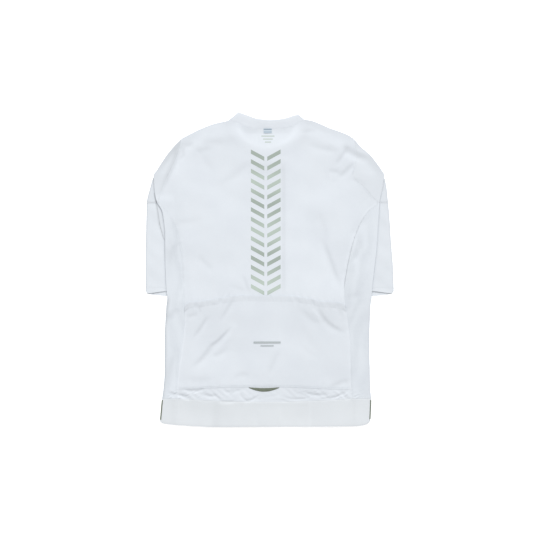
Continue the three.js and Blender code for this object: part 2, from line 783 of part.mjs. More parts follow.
const frontLeft = frontPanel('Left');
const frontRight = frontPanel('Right');
add('back_panel', backPanel, finishes.body);
add('side_panel_left', sidePanel('Left'), finishes.side);
add('side_panel_right', sidePanel('Right'), finishes.side);
add('front_left', frontLeft.geometry, finishes.body);
add('front_right', frontRight.geometry, finishes.body);
add('sleeve_upper_left', sleeveUpper('Left'), finishes.sleeve);
add('sleeve_upper_right', sleeveUpper('Right'), finishes.sleeve);
add('sleeve_band_left', sleeveBand('Left'), finishes.sleeve);
add('sleeve_band_right', sleeveBand('Right'), finishes.sleeve);
add('collar', collar(frontLeft, frontRight), finishes.collar);
add('hem_band', hemBand(), finishes.gripper);
add('pocket_panel', pocketPanel(), finishes.body);
add('pocket_binding', pocketBinding(), finishes.binding);
add('crescent_tab', crescentTab(), finishes.reflective);
add('neck_label', neckLabel(), finishes.label);

const edges = frontLeft.zipEdge;
['left', 'right'].forEach((side) => {
  const outward = side === 'left' ? -1 : 1;
  const { inner, outer, foot, head, above } = tape;
  const strip = zipStrip(edges, outward * inner, outward * outer, foot, head, above, cloth);
  add(`zip_tape_${side}`, strip, finishes.zip);
});
const teeth = zipStrip(edges, -chain.half, chain.half, chain.foot, chain.head, chain.above, chain.thick);
add('zip_chain', teeth, finishes.zip);
add('zip_slider', zipSlider(), finishes.metal);
const tabMesh = add('zip_pull', zipPull(), finishes.metal);
tabMesh.position.set(0, archY, barZ);
tabMesh.rotation.x = degToRad(pull.lean);

export default jersey;
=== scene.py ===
"""A white short-sleeved cycling jersey laid face down and flat, seen from straight above.

Sizes are millimetres in the jersey's own frame: +X right, +Y to the collar, +Z up, z = 0 the table.
A mesh is turned into metres when it is made.
"""
import math

import bpy
import numpy as np
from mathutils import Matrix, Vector


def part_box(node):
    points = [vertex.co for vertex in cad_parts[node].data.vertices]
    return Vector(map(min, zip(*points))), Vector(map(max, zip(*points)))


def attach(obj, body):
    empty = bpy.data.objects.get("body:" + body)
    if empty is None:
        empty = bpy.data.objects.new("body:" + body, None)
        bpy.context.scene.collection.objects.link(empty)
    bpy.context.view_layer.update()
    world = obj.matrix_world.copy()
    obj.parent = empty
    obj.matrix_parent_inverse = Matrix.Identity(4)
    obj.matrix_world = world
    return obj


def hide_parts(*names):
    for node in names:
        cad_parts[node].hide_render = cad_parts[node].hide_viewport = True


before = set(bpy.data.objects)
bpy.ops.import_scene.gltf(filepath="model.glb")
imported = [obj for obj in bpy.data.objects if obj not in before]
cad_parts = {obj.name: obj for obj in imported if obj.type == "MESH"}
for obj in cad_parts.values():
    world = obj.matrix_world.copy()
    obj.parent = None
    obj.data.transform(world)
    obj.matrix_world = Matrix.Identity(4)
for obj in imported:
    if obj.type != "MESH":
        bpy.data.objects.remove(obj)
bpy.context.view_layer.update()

MM = 0.001
JERSEY = "jersey"
SIDES = {"left": -1, "right": 1}

# Cloth: its thickness, the gaps at its seams, the radius of a fold and the loft of the body
SKIN = 0.7
SEAM_GAP = 0.3
FINE_GAP = 0.08
TURN = 1.2
LOFT = 3.4
SIDE_RAMP = 60
SHOULDER_RAMP = 40

# Heights on the garment
HEM_SEAM = -296
HEM_FOOT = -346
POCKET_FOOT = -275
BINDING_FOOT = -95
POCKET_MOUTH = -85
UNDERARM = 154
CAP_TOP = 298.5
SHOULDER_TIP = 300
SLEEVE_FOOT = -46

# How the body rides over the sleeves, the pleat and the zip's slider
STACK = 2.7
STACK_MARGIN = 16
STACK_RAMP = 100
PLEAT_RISE = 1.6
PLEAT_START = 215
STRIP_TOP = 232
ZIP_GAP = 5
ZIP_ROOM = 2.4
ZIP_TOP_RISE = 2.2
ZIP_TOP_Y = 262
ZIP_TOP_REACH = 46
COLLAR_RISE = 1.4

# Neck points: out from the middle, and where the collar starts on the back
NECK_OUT = 88
NECK_OUT_RIGHT = 78
COLLAR_LEFT = -95

# How many ribs go round a fold
ROUND = 7


def columns(names, rows):
    """A short table of rows with named columns, as arrays."""
    return {name: np.array([row[k] for row in rows], float) for k, name in enumerate(names.split())}


CUT = columns("y edge_left seam_left seam_right edge_right", [
    (-346, -252, -214, 189, 231),
    (-296, -247, -213, 189, 233),
    (-275, -244, -213, 188, 231),
    (-230, -241, -209, 187, 230),
    (-184, -241, -202, 186, 229),
    (-149, -241, -198, 183, 229),
    (-115, -239, -195, 179, 230),
    (-85, -237, -195, 173, 231),
    (-64, -235, -196, 171, 234),
    (-46, -237, -198, 171, 235),
    (0, -239, -200, 177, 240),
    (46, -240, -202, 187, 245),
    (74, -240, -208, 195, 247),
    (104, -242, -217, 207, 249),
    (134, -247, -236, 227, 251),
    (154, -258, -254, 248, 252),
    (166, -262, -252, 236, 254),
    (190, -265, -245, 215, 259),
    (204, -265.5, -240, 199, 261),
    (217, -266, -233, 190, 263),
    (228, -259, -228, 193, 257),
    (244, -249, -221, 196, 246),
    (262, -237, -213, 200, 232),
    (285, -218, -206, 196, 206),
    (295, -208, -204, 194, 198),
    (300, -203, -203, 193, 193),
])
FRONT_ARMHOLE = columns("y left right", [
    (154, -254, 248),
    (204, -238, 224),
    (262, -212, 203),
    (300, -203, 193),
])
SLEEVES = columns("y outer_left inner_left inner_right outer_right", [
    (-46, -285, -150, 150, 285),
    (0, -285, -148, 148, 283.5),
    (60, -284.5, -146, 146, 279),
    (120, -283, -150, 150, 275),
    (154, -282, -175, 172, 272),
    (190, -274, -225, 220, 268),
    (205, -269.5, -243, 238, 265),
    (232, -256.7, -246, 244, 254.5),
])
CUFFS = columns("out upper lower", [
    (150, -50, -60.5),
    (240, -50, -60.5),
    (255, -51.5, -59),
    (279, -54.5, -56),
    (283, -51, -52),
    (285, -46, -46),
])
PLEAT = columns("y outer inner", [
    (69, -242, -237),
    (83, -246, -237),
    (104, -252, -240),
    (131, -256, -245),
    (154, -260, -252),
    (166, -262, -255),
    (176, -263.2, -255.5),
])
MOUTH_RISE = columns("x rise", [
    (-195, 0), (-190, 6), (-182, 10), (-160, 11.5), (-141, 14.5), (-114, 19), (-86, 23.5), (-60, 25.5),
    (0, 24.5), (48, 24), (70, 21), (93, 18), (116, 12), (139, 10.5), (158, 9), (167, 7), (173, 3),
])
FOOT_RISE = columns("x rise", [
    (-213, 0), (-160, 2), (-91, 5), (0, 6), (50, 5), (70, 4), (116, 2.2), (162, 0), (188, 0),
])
HEM_DIP = {"middle": -12, "half": 201, "deep": 7}
SHOULDER_LEFT = columns("x y", [
    (-203, 300), (-178, 313), (-160, 322), (-125, 335), (-102, 340), (-88, 343),
])
NECK_SEAM = columns("x y", [
    (-88, 343), (-72, 336), (-58, 329.5), (-40, 325), (-6, 323.5), (30, 324.5), (52, 329), (66, 336),
    (78, 345),
])
SHOULDER_RIGHT = columns("x y", [
    (78, 345), (98, 341), (116, 334), (139, 324), (162, 316), (181, 308), (193, 300),
])
FRONT_COLLAR = columns("seam_x seam_y free_x free_y", [
    (5, 247, 5, 275),
    (23, 250, 21, 277),
    (41, 256.5, 36, 282.5),
    (58, 269, 50, 294),
    (66, 281, 57, 305),
    (76, 296, 64, 318),
    (84, 318, 67.5, 340),
    (88, 343, 68, 361),
])
NECK_RIGHT = {"seam": NECK_OUT_RIGHT / NECK_OUT, "free": 65 / 68, "seam_rise": 2, "free_drop": -5}
BACK_COLLAR = columns("x y", [
    (-71, 361.4), (-58, 356.6), (-45, 352), (-31, 347), (-17, 345), (-3, 343.5),
    (13, 344), (29, 346), (45, 350), (57, 354), (65, 356),
])
HEM_EDGE = columns("x y", [
    (-252, -346), (-250, -350), (-245, -353), (-229, -355.5), (-194, -358), (-125, -361), (0, -360.5),
    (140, -360), (197, -359), (213, -357.5), (222, -355), (228, -351), (231, -346),
])

# Folds: three points along each, noted on the photograph in its pixels, how far the dark and the
# lit flank reach, and the height
PHOTO = {"middle_x": 269.7, "middle_y": 269.55, "mm_per_pixel": 2.293}
FOLDS = columns("px1 py1 px2 py2 px3 py3 steep soft height", [
    # Pocket, left
    (234, 324, 220, 340, 208, 348, 4.0, 8, -2.1), (214, 341, 206, 355, 189, 371, 6, 10, -1.9),
    (234, 299, 228, 309, 220, 323, 4.5, 8, -1.3), (209, 314, 202, 327, 192, 341, 4.5, 7, -1.5),
    (192, 304, 198, 308, 203, 318, 4, 6, -0.6), (186, 317, 192, 316, 200, 313, 5, 8, -0.8),
    (230, 345, 220, 354, 210, 356, 6, 9, -1.0), (281, 347, 274, 363, 267, 379, 6, 10, -0.9),
    (236, 322, 231, 332, 222, 345, 8, 10, 0.7), (182, 378, 200, 381, 212, 376, 8, 10, -0.6),
    (232, 383, 242, 375, 250, 380, 6, 8, -0.7),
    # Pocket, right
    (317, 304, 327, 323, 349, 334, 5.5, 9, -1.8), (298, 305, 309, 318, 325, 327, 7, 11, -0.9),
    (311, 307, 316, 314, 323, 322, 5, 6, 0.7), (327, 390, 339, 384, 353, 380, 6, 8, -1.1),
    (298, 318, 312, 345, 332, 362, 10, 14, -0.35), (300, 343, 308, 352, 322, 360, 6, 9, -0.3),
    (334, 302, 339, 310, 341, 320, 5, 7, -0.8),
    # Between pocket and hem band
    (163, 391, 178, 395, 194, 397, 3.2, 3.5, -1.9), (180, 394, 186, 398, 195, 399, 2.0, 3, -1.0),
    (182, 389, 195, 391, 206, 388, 3.0, 3.5, -1.6), (199, 392, 209, 396, 218, 395, 3.2, 3.5, -1.8),
    (212, 391, 217, 397, 224, 401, 2.4, 3, -1.3), (216, 400, 227, 402, 238, 400, 2.2, 3, -1.4),
    (222, 389, 229, 392, 236, 387, 2.4, 3, -1.1), (228, 397, 236, 391, 246, 389, 2.2, 3, -1.1),
    (240, 392, 243, 398, 250, 401, 2.2, 3, -1.1), (242, 400, 251, 400, 262, 393, 2.6, 3.5, -1.7),
    (254, 402, 262, 398, 272, 397, 2.0, 3, -0.9), (262, 393, 271, 396, 282, 392, 2.4, 3.5, -1.1),
    (266, 401, 279, 400, 290, 402, 2.0, 3, -1.1), (281, 394, 287, 398, 296, 399, 2.0, 3, -0.8),
    (288, 399, 299, 399, 310, 398, 2.2, 3, -1.3), (301, 390, 315, 395, 331, 393, 3.2, 4, -1.8),
    (318, 399, 328, 398, 338, 395, 2.2, 3, -0.9), (328, 399, 338, 396, 349, 389, 2.6, 3.5, -1.5),
    (340, 393, 346, 398, 350, 401, 2.2, 3, -1.0), (296, 391, 303, 395, 312, 399, 2.0, 3, -0.8),
    # Back, left
    (180, 137, 173, 166, 157, 199, 6, 8, -3.2), (178, 142, 186, 145, 195, 144, 6, 11, -1.4),
    (181, 145, 183, 154, 179, 162, 4, 5, -1.3), (195, 153, 203, 151, 215, 148, 6, 9, -0.9),
    (198, 145, 212, 143, 234, 145, 9, 11, -0.8), (247, 160, 240, 172, 210, 191, 9, 13, -0.9),
    (201, 152, 206, 162, 216, 177, 8, 10, -0.5), (171, 221, 186, 223, 208, 217, 8, 11, -0.5),
    (197, 253, 205, 264, 216, 272, 7, 9, -0.7), (242, 273, 246, 285, 250, 297, 4, 6, -1.0),
    (169, 214, 177, 240, 167, 272, 7, 5, -1.0), (174, 238, 170, 258, 166, 290, 7, 5, -0.5),
    (184, 262, 183, 274, 186, 290, 3, 4, -0.5), (228, 284, 238, 289, 249, 293, 6, 8, -0.5),
    # Back, right
    (336, 167, 342, 157, 351, 145, 5, 7, -1.5), (340, 145, 352, 153, 370, 162, 7.5, 12, -2.9),
    (336, 179, 347, 171, 357, 159, 5.5, 9, -1.6), (327, 170, 334, 172, 342, 172, 5, 7, -0.9),
    (304, 143, 322, 149, 342, 152, 8, 9, -1.0), (299, 131, 308, 132, 318, 130, 6, 6, -0.8),
    (316, 208, 323, 228, 325, 248, 9, 12, -0.9), (320, 234, 331, 264, 340, 290, 6, 10, -1.7),
    (368, 212, 358, 228, 351, 238, 8, 7, -0.9), (358, 236, 358, 251, 350, 266, 5, 6, -1.4),
    (303, 200, 312, 225, 319, 250, 14, 16, -0.6), (345, 302, 353, 297, 364, 293, 9, 8, -0.8),
    (352, 181, 360, 182, 368, 190, 4, 6, -0.4), (352, 262, 351, 272, 350, 284, 5, 5, -0.5),
    # Sides
    (164, 323, 171, 315, 181, 311, 6, 7, -1.8), (166, 393, 170, 371, 178, 347, 7, 7, -1.7),
    (179, 300, 181, 308, 180, 322, 4, 5, -0.6),
])
LIGHT_SIDE = np.array([0.2, 0.98])


def smooth_read(table, column, at):
    """Reads a column along the table's first one, on a smooth curve that never overshoots the rows."""
    xs, ys = next(iter(table.values())), table[column]
    at = np.asarray(at, float)
    steps = np.diff(xs)
    slopes = np.diff(ys) / steps
    tangents = np.empty(len(xs))
    tangents[0], tangents[-1] = slopes[0], slopes[-1]
    product = slopes[:-1] * slopes[1:]
    total = slopes[:-1] + slopes[1:]
    safe = np.where(total == 0, 1, total)
    tangents[1:-1] = np.where(product > 0, 2 * product / safe, 0)
    k = np.clip(np.searchsorted(xs, at) - 1, 0, len(xs) - 2)
    t = np.clip((at - xs[k]) / steps[k], 0, 1)
    first = (1 + 2 * t) * (1 - t) ** 2 * ys[k] + t * (1 - t) ** 2 * steps[k] * tangents[k]
    second = t * t * (3 - 2 * t) * ys[k + 1] + t * t * (t - 1) * steps[k] * tangents[k + 1]
    return first + second


def smoothstep(value, low, high):
    part = np.clip((np.asarray(value, float) - low) / (high - low), 0, 1)
    return part * part * (3 - 2 * part)


def window(value, rise, full, fall, end):
    """1 from full to fall, and 0 before rise and after end."""
    return smoothstep(value, rise, full) * (1 - smoothstep(value, fall, end))


def bump_at(value, centre, half):
    return np.exp(-((value - centre) / half) ** 2)


def between(first, second, part):
    return first * (1 - part) + second * part


def cut_at(column, y):
    return smooth_read(CUT, column, y)


def side_read(table, column, x, y):
    """How far out a line runs at height y, on the side where x is."""
    left = -smooth_read(table, f"{column}_left", y)
    return np.where(x < 0, left, smooth_read(table, f"{column}_right", y))


def back_top(x):
    """Top edge of the back: shoulders and collar seam."""
    left = smooth_read(SHOULDER_LEFT, "y", x)
    neck = smooth_read(NECK_SEAM, "y", x)
    right = smooth_read(SHOULDER_RIGHT, "y", x)
    return np.where(x < -NECK_OUT, left, np.where(x > NECK_OUT_RIGHT, right, neck))


def front_top(x):
    """Top edge of the fronts: neckline beside the zip, then the shoulder."""
    out = np.abs(x) / np.where(x < 0, 1, NECK_RIGHT["seam"])
    rise = np.where(x < 0, 0, NECK_RIGHT["seam_rise"] * smoothstep(out, 60, NECK_OUT))
    neck = smooth_read(FRONT_COLLAR, "seam_y", out) + rise
    return np.where(out >= NECK_OUT, back_top(x), neck)


def lift(x, y):
    """Underside of the layer on the table."""
    full = side_read(SLEEVES, "inner", x, y) - STACK_MARGIN
    sleeve = smoothstep((np.abs(x) - full + STACK_RAMP) / STACK_RAMP, 0, 1) * window(y, -160, -66, 202, 264)
    pleat = smoothstep(-x, PLEAT_START, PLEAT_START + 15) * window(y, 5, 65, 154, 176)
    neck = (1 - smoothstep(np.abs(y - ZIP_TOP_Y), 8, ZIP_TOP_REACH)) * (1 - smoothstep(np.abs(x), 22, 60))
    return STACK * sleeve + PLEAT_RISE * pleat + ZIP_TOP_RISE * neck


def from_photo(px, py):
    """A place in the photograph in millimetres on the garment."""
    return np.array([px - PHOTO["middle_x"], PHOTO["middle_y"] - py]) * PHOTO["mm_per_pixel"]


def fold_field(x, y):
    """All the listed folds: height, and how deep in a crease each place lies."""
    total = np.zeros_like(x)
    creased = np.zeros_like(x)
    pieces = 10
    for k in range(len(FOLDS["height"])):
        fold = {name: values[k] for name, values in FOLDS.items()}
        start, middle, end = (from_photo(fold[f"px{n}"], fold[f"py{n}"]) for n in (1, 2, 3))
        control = 2 * middle - (start + end) / 2
        reach = 3 * fold["soft"]
        low = np.minimum(np.minimum(start, end), control) - reach
        high = np.maximum(np.maximum(start, end), control) + reach
        near = (x > low[0]) & (x < high[0]) & (y > low[1]) & (y < high[1])
        if not near.any():
            continue
        px, py = x[near], y[near]
        nearest = np.full(px.shape, 1e9)
        along = np.zeros_like(px)
        upper = np.zeros_like(px)
        for n in range(pieces):
            t0, t1 = n / pieces, (n + 1) / pieces
            a = (1 - t0) ** 2 * start + 2 * t0 * (1 - t0) * control + t0 * t0 * end
            b = (1 - t1) ** 2 * start + 2 * t1 * (1 - t1) * control + t1 * t1 * end
            d = b - a
            normal = np.array([-d[1], d[0]])
            normal *= np.sign(normal @ LIGHT_SIDE) / np.hypot(*d)
            part = np.clip(((px - a[0]) * d[0] + (py - a[1]) * d[1]) / (d @ d), 0, 1)
            away = np.hypot(px - a[0] - part * d[0], py - a[1] - part * d[1])
            closer = away < nearest
            nearest = np.where(closer, away, nearest)
            along = np.where(closer, (n + part) / pieces, along)
            side = (px - a[0]) * normal[0] + (py - a[1]) * normal[1]
            upper = np.where(closer, side, upper)
        ends = smoothstep(along, 0, 0.35) * smoothstep(1 - along, 0, 0.35)
        width = np.where(upper > 0, fold["steep"], fold["soft"])
        total[near] += 0.8 * fold["height"] * ends * bump_at(nearest, 0, width)
        core = bump_at(upper, 0.3 * fold["steep"], fold["steep"]) * (nearest < reach)
        creased[near] += -fold["height"] * ends * core
    return total, creased


def drift(x, y):
    """Soft unevenness of cloth smoothed out by hand."""
    rng = np.random.default_rng(11)
    total = np.zeros_like(x)
    for _ in range(26):
        length = rng.uniform(45, 210)
        angle = rng.uniform(0, math.pi)
        phase = rng.uniform(0, 2 * math.pi)
        size = 0.0017 * length * rng.uniform(0.4, 1.0)
        total += size * np.sin(2 * math.pi * (x * math.cos(angle) + y * math.sin(angle)) / length + phase)
    return total


def uneven_waves(at, length, seed, spread=0.35):
    """Waves along a line, uneven in length and height."""
    rng = np.random.default_rng(seed)
    total = np.zeros_like(at)
    for _ in range(5):
        scale = length * rng.uniform(1 - spread, 1 + spread)
        total += rng.uniform(0.3, 1.0) * np.sin(2 * math.pi * at / scale + rng.uniform(0, 2 * math.pi))
    return total / 2.2


def hem_bend(x):
    return -HEM_DIP["deep"] * np.maximum(0, 1 - ((x - HEM_DIP["middle"]) / HEM_DIP["half"]) ** 2)


def foot_line(x):
    return POCKET_FOOT + smooth_read(FOOT_RISE, "rise", x)


def mouth_line(x):
    return POCKET_MOUTH + smooth_read(MOUTH_RISE, "rise", x)


def flank(x):
    """0 in the middle of the back and 1 on both sides of it."""
    return smoothstep(np.abs(x + 12), 40, 90)


def gathers(x, y):
    """Small gathers where elastic draws the cloth up: at the pocket mouth and above the hem band."""
    mouth = y - mouth_line(x)
    above = bump_at(mouth, 0, np.where(mouth > 0, 9, 20))
    inside = window(x, -205, -180, 158, 182)
    flanks = 0.35 + 0.65 * smoothstep(np.abs(x + 12), 45, 80)
    at_mouth = 0.4 * above * inside * flanks * uneven_waves(x + 0.3 * mouth * np.sign(x), 19, 3)
    foot = foot_line(x) - y
    hem = smoothstep(foot, 0, 6) * bump_at(np.maximum(18, foot), 18, 5) * (y > HEM_SEAM - 12)
    fine = uneven_waves(x + 1.6 * foot, 11, 5) * uneven_waves(x - 0.8 * foot, 37, 15)
    at_hem = hem * (0.42 * fine + 0.34 * uneven_waves(x - 1.1 * foot, 24, 6))
    above_foot = 0.2 * bump_at(foot, -9, 8) * uneven_waves(x, 27, 6)
    return at_mouth + at_hem + above_foot


def edges(x, y):
    """How far a place lies inside the body's outline, and below its top edge."""
    left = x - cut_at("edge_left", y) - TURN
    right = cut_at("edge_right", y) - TURN - x
    return np.maximum(0, np.minimum(left, right)), np.maximum(0, back_top(x) - y)


def seam_dips(x, y):
    """The stitched ridge on the body's side of each seam, with faint puckers along it."""
    total = np.zeros_like(x)
    for column, outward, dip, seed in (("seam_left", -1, -0.1, 21), ("seam_right", 1, 0.06, 22)):
        inward = (cut_at(column, y) - x) * outward
        total += 0.3 * bump_at(inward, 2.6, 2.1) - dip * bump_at(inward, -0.9, 1.6)
        total += 0.12 * bump_at(inward, 0, 9) * uneven_waves(y, 21, seed)
    return total


def top_height(x, y):
    """Upper face of the layer on top."""
    edge, below = edges(x, y)
    dome = smoothstep(edge, 0, SIDE_RAMP) * smoothstep(below, 0, SHOULDER_RAMP)
    hem_fall = 1 - 0.25 * smoothstep(-300 - y, 0, 50)
    fade = smoothstep(edge, 0, 14) * smoothstep(below, -1, 12)
    waves = fold_field(x, y)[0] + drift(x, y) + gathers(x, y) + seam_dips(x, y)
    over_zip = ZIP_ROOM * (1 - smoothstep(np.abs(x), 20, 34)) * smoothstep(below, 0, 30)
    wanted = LOFT * dome * hem_fall + waves * fade
    # A soft maximum, so that cloth pressed down comes to rest without a kink
    stand = over_zip + 0.5 * (wanted - over_zip + np.sqrt((wanted - over_zip) ** 2 + 0.6 * fade ** 2))
    return lift(x, y) + 2 * TURN + np.maximum(stand - 0.3 * fade, 0)


GUIDES_BACK = [
    (HEM_SEAM, hem_bend),
    (POCKET_FOOT, lambda x: foot_line(x) - POCKET_FOOT),
    (POCKET_MOUTH, lambda x: mouth_line(x) - POCKET_MOUTH),
    (UNDERARM, lambda x: 0 * x),
    (SHOULDER_TIP, lambda x: back_top(x) - SHOULDER_TIP),
]
GUIDES_FRONT = [
    (HEM_SEAM, lambda x: 0 * x),
    (UNDERARM, lambda x: 0 * x),
    (SHOULDER_TIP, lambda x: front_top(x) - SHOULDER_TIP),
]


def bent(guides, x, level):
    """Height of a row's point: rows follow the guide lines and pass smoothly between them."""
    result = np.array(level, float) + 0 * x
    for (low, low_bend), (high, high_bend) in zip(guides[:-1], guides[1:]):
        inside = (level >= low - 1e-6) & (level <= high + 1e-6)
        part = smoothstep(level, low, high)
        value = level + (1 - part) * low_bend(x) + part * high_bend(x)
        result = np.where(inside, value, result)
    return result


def spaced(marks, steps):
    """Evenly spaced values between marks: spaced([0, 1, 3], [2, 4]) gives 2 steps and then 4."""
    parts = [np.linspace(a, b, n, endpoint=False) for a, b, n in zip(marks[:-1], marks[1:], steps)]
    return np.append(np.concatenate(parts), marks[-1])


# Rows of the body from the hem band's seam to the shoulders, and columns from seam to seam
MARKS = [HEM_SEAM, POCKET_FOOT, BINDING_FOOT, POCKET_MOUTH, UNDERARM, SHOULDER_TIP]
LEVELS = spaced(MARKS, [14, 16, 4, 112, 66])
BACK_COLUMNS = np.linspace(0, 1, 226)


def new_object(name, points, faces, tone=None, smooth_angle=40):
    """A mesh in metres, with a tone at each point: 0 is even, -0.1 is a tenth darker."""
    points = np.asarray(points, float)
    mesh = bpy.data.meshes.new(name)
    mesh.from_pydata((points * MM).tolist(), [], faces)
    values = np.zeros(len(points))
    if tone is not None:
        # The underside, on the table, keeps its even colour
        values = tone(points[:, 0], points[:, 1]) * smoothstep(points[:, 2], 0.6, 1.2)
    mesh.attributes.new("tone", "FLOAT", "POINT").data.foreach_set("value", values.astype(np.float32))
    mesh.shade_smooth()
    mesh.set_sharp_from_angle(angle=math.radians(smooth_angle))
    piece = bpy.data.objects.new(name, mesh)
    bpy.context.scene.collection.objects.link(piece)
    return piece


def wall_arrays(outer, inner, ring=False):
    """Closes two skins of points (rows, columns, 3) into one thin wall."""
    rows, cols = outer.shape[:2]
    points = np.concatenate([outer.reshape(-1, 3), inner.reshape(-1, 3)])
    grid = np.arange(rows * cols).reshape(rows, cols)
    if ring:
        grid = np.concatenate([grid, grid[:, :1]], axis=1)
    under = grid + rows * cols
    a, b, c, d = grid[:-1, :-1], grid[:-1, 1:], grid[1:, 1:], grid[1:, :-1]
    e, f, g, h = under[:-1, :-1], under[:-1, 1:], under[1:, 1:], under[1:, :-1]
    parts = [np.stack([a, b, c, d], -1).reshape(-1, 4), np.stack([e, h, g, f], -1).reshape(-1, 4)]

    def rim(first, second):
        return np.stack([first[:-1], second[:-1], second[1:], first[1:]], -1)

    parts += [rim(grid[0], under[0]), rim(under[-1], grid[-1])]
    if not ring:
        parts += [rim(under[:, 0], grid[:, 0]), rim(grid[:, -1], under[:, -1])]
    faces = np.concatenate(parts)
    corners = points[faces]
    volume = np.einsum("ij,ij->i", corners[:, 0], np.cross(corners[:, 1], corners[:, 2])).sum()
    volume += np.einsum("ij,ij->i", corners[:, 0], np.cross(corners[:, 2], corners[:, 3])).sum()
    if volume < 0:
        faces = faces[:, ::-1]
    return points, faces.tolist()


def wall(name, outer, inner, ring=False, tone=None):
    points, faces = wall_arrays(outer, inner, ring)
    return new_object(name, points, faces, tone)


def closed_tube(rings):
    """A small closed grain through rings of points, capped at both ends."""
    sides = len(rings[0])
    last = (len(rings) - 1) * sides
    faces = []
    for first in range(0, last, sides):
        for k in range(sides):
            after = (k + 1) % sides
            faces.append([first + k, first + after, first + sides + after, first + sides + k])
    faces += [list(range(sides))[::-1], list(range(last, last + sides))]
    return np.concatenate(rings), faces


def joined(name, parts, tone=None, smooth_angle=40):
    """One object from several closed parts, each its points and faces."""
    points, faces, count = [], [], 0
    for part_points, part_faces in parts:
        points.append(part_points)
        faces += [[corner + count for corner in face] for face in part_faces]
        count += len(part_points)
    return new_object(name, np.concatenate(points), faces, tone, smooth_angle)


def lowered(skin, depth):
    return skin - np.array([0, 0, depth])


def skin_over(x, y, above=0.0):
    return np.stack([x, y, top_height(x, y) + above], -1)


def layer_pair(x, y, turn, above=0.0):
    """Outer and inner points of a layer whose outer face looks along turn, in degrees: 90 is up."""
    up = np.sin(np.radians(turn))
    side = np.cos(np.radians(turn))
    middle = np.where(up > 0.99, top_height(x, y) + above - TURN, lift(x, y) + TURN)
    inside = TURN - SKIN
    outer = np.stack([x + side * TURN, y, middle + up * TURN], -1)
    inner = np.stack([x + side * inside, y, middle + up * inside], -1)
    return outer, inner


def fold_turns(start, end, count=ROUND):
    """The turns a layer goes through round a fold, in degrees, without the two ends."""
    return np.linspace(start, end, count + 2)[1:-1]


def wrap(levels, top_seam, edge, under_seam):
    """A piece that wraps the garment's edge, from its seam on top to its seam below."""
    outward = np.sign(edge[0])
    centre = (edge - outward * TURN)[:, None]
    across = spaced([0, 0.15, 1], [6, 26])
    under_across = np.linspace(1, 0, 8)
    x = np.concatenate([
        between(top_seam[:, None], centre, across),
        np.repeat(centre, ROUND, 1),
        between(under_seam[:, None], centre, under_across),
    ], 1)
    round_turns = fold_turns(90, 270 if outward < 0 else -90)
    turns = np.concatenate([np.full(len(across), 90.0), round_turns, np.full(len(under_across), 270.0)])
    return wall_arrays(*layer_pair(x, levels[:, None] + 0 * x, turns))


# Tones: what shows through the sheer cloth, and painted shade and highlights in its creases, along its seams
# and rims and beside the body

# How much darker a crease is painted as shade, for each unit of its depth, up to three
CREASE_SHADE = 0.034
NECK_OPENING = {"x": -5.5, "y": 340, "wide": 78, "high": 66}
ARMHOLE = (150, 156, 205, 220)


def painted_crease_shade(x, y):
    return CREASE_SHADE * np.minimum(fold_field(x, y)[1], 3)


def body_tone(x, y):
    across = (x - NECK_OPENING["x"]) / NECK_OPENING["wide"]
    out = np.hypot(across, (y - NECK_OPENING["y"]) / NECK_OPENING["high"])
    inside = 1 - smoothstep(out, 0.93, 1.05)
    # Lighter inside the neck opening and along its edge, where one layer shows through; painted shade in a
    # ring just outside it
    tone = inside * (0.008 + 0.032 * bump_at(out, 0.88, 0.08)) - 0.025 * bump_at(out, 1.2, 0.14)
    # The facing inside the neck
    tone -= 0.04 * smoothstep(y, 311, 314) * inside * (1 - smoothstep(out, 0.66, 0.84))
    # A whiter field right of the print, with a dark line on its left
    lobe = 90 + 0.4 * np.maximum(0, 161 - y)
    whiter = smoothstep(x, 34, 44) * (1 - smoothstep(x - lobe, -26, 26))
    tone += 0.022 * whiter * window(y, -80, -45, 190, 262)
    tone -= 0.04 * window(x, 26, 30, 34, 38) * window(y, -60, -30, 225, 260)
    # Shoulders: painted shade, darker towards both
    tone -= 0.02 * smoothstep(-x, 60, 120) * smoothstep(y, 235, 290)
    tone -= 0.03 * smoothstep(x, 62, 86) * smoothstep(y, 280, 312)
    # Pocket and its seams: a darker pocket, painted highlights just above the mouth and on the stitched
    # ridges beside the seams, lighter along the pocket's foot, and painted shade just under the mouth
    tone += 0.015 * bump_at(y - mouth_line(x), 1.8, 1.8)
    pocket = 1 - smoothstep(y - mouth_line(x), -8, 0)
    tone -= (0.012 + 0.014 * smoothstep(x, 20, 70)) * pocket
    left = x - cut_at("seam_left", y)
    right = cut_at("seam_right", y) - x
    tone += 0.05 * bump_at(left, 1.8, 2.4) * pocket
    tone += 0.02 * bump_at(right, 4.5, 3.4) * (y < UNDERARM)
    tone += 0.05 * bump_at(y - foot_line(x), 0.5, 1.8) * (0.3 + 0.7 * smoothstep(x, 10, 40))
    tone -= 0.03 * bump_at(mouth_line(x) - y, 10, 1.6) * flank(x)
    # Painted shade along the right seam at the armhole, and in the creases
    return tone - 0.06 * bump_at(right, 0, 1.8) * window(y, *ARMHOLE) - painted_crease_shade(x, y)


def side_tone(x, y):
    right = x - cut_at("seam_right", y)
    left = cut_at("seam_left", y) - x
    # Painted highlight beside the left seam, and painted shade at the low end of the right seam
    tone = 0.05 * bump_at(left, 0, 1.8) - 0.02 * bump_at(right, 0, 1.6) * (1 - smoothstep(y, -80, -40))
    tone -= (x > 0) * (0.038 * (1 - smoothstep(y, -60, 20)) - 0.008)
    # Painted shade along both outer rims low down, and the sleeve's painted shadow on the left rim just below
    # the cuff
    rim_left = x - cut_at("edge_left", y)
    rim_right = cut_at("edge_right", y) - x
    below = 1 - smoothstep(y, -72, -58)
    tone -= 0.09 * bump_at(rim_left, 4, 3.5) * bump_at(y, -76, 16)
    tone -= (0.2 * bump_at(rim_left, 0, 4) + 0.09 * bump_at(rim_right, 0, 2.6)) * below
    # A darker stripe low on the left side, and painted shade in the creases
    return tone - 0.025 * bump_at(x, -222, 11) * window(y, -30, 60, 95, 135) - painted_crease_shade(x, y)


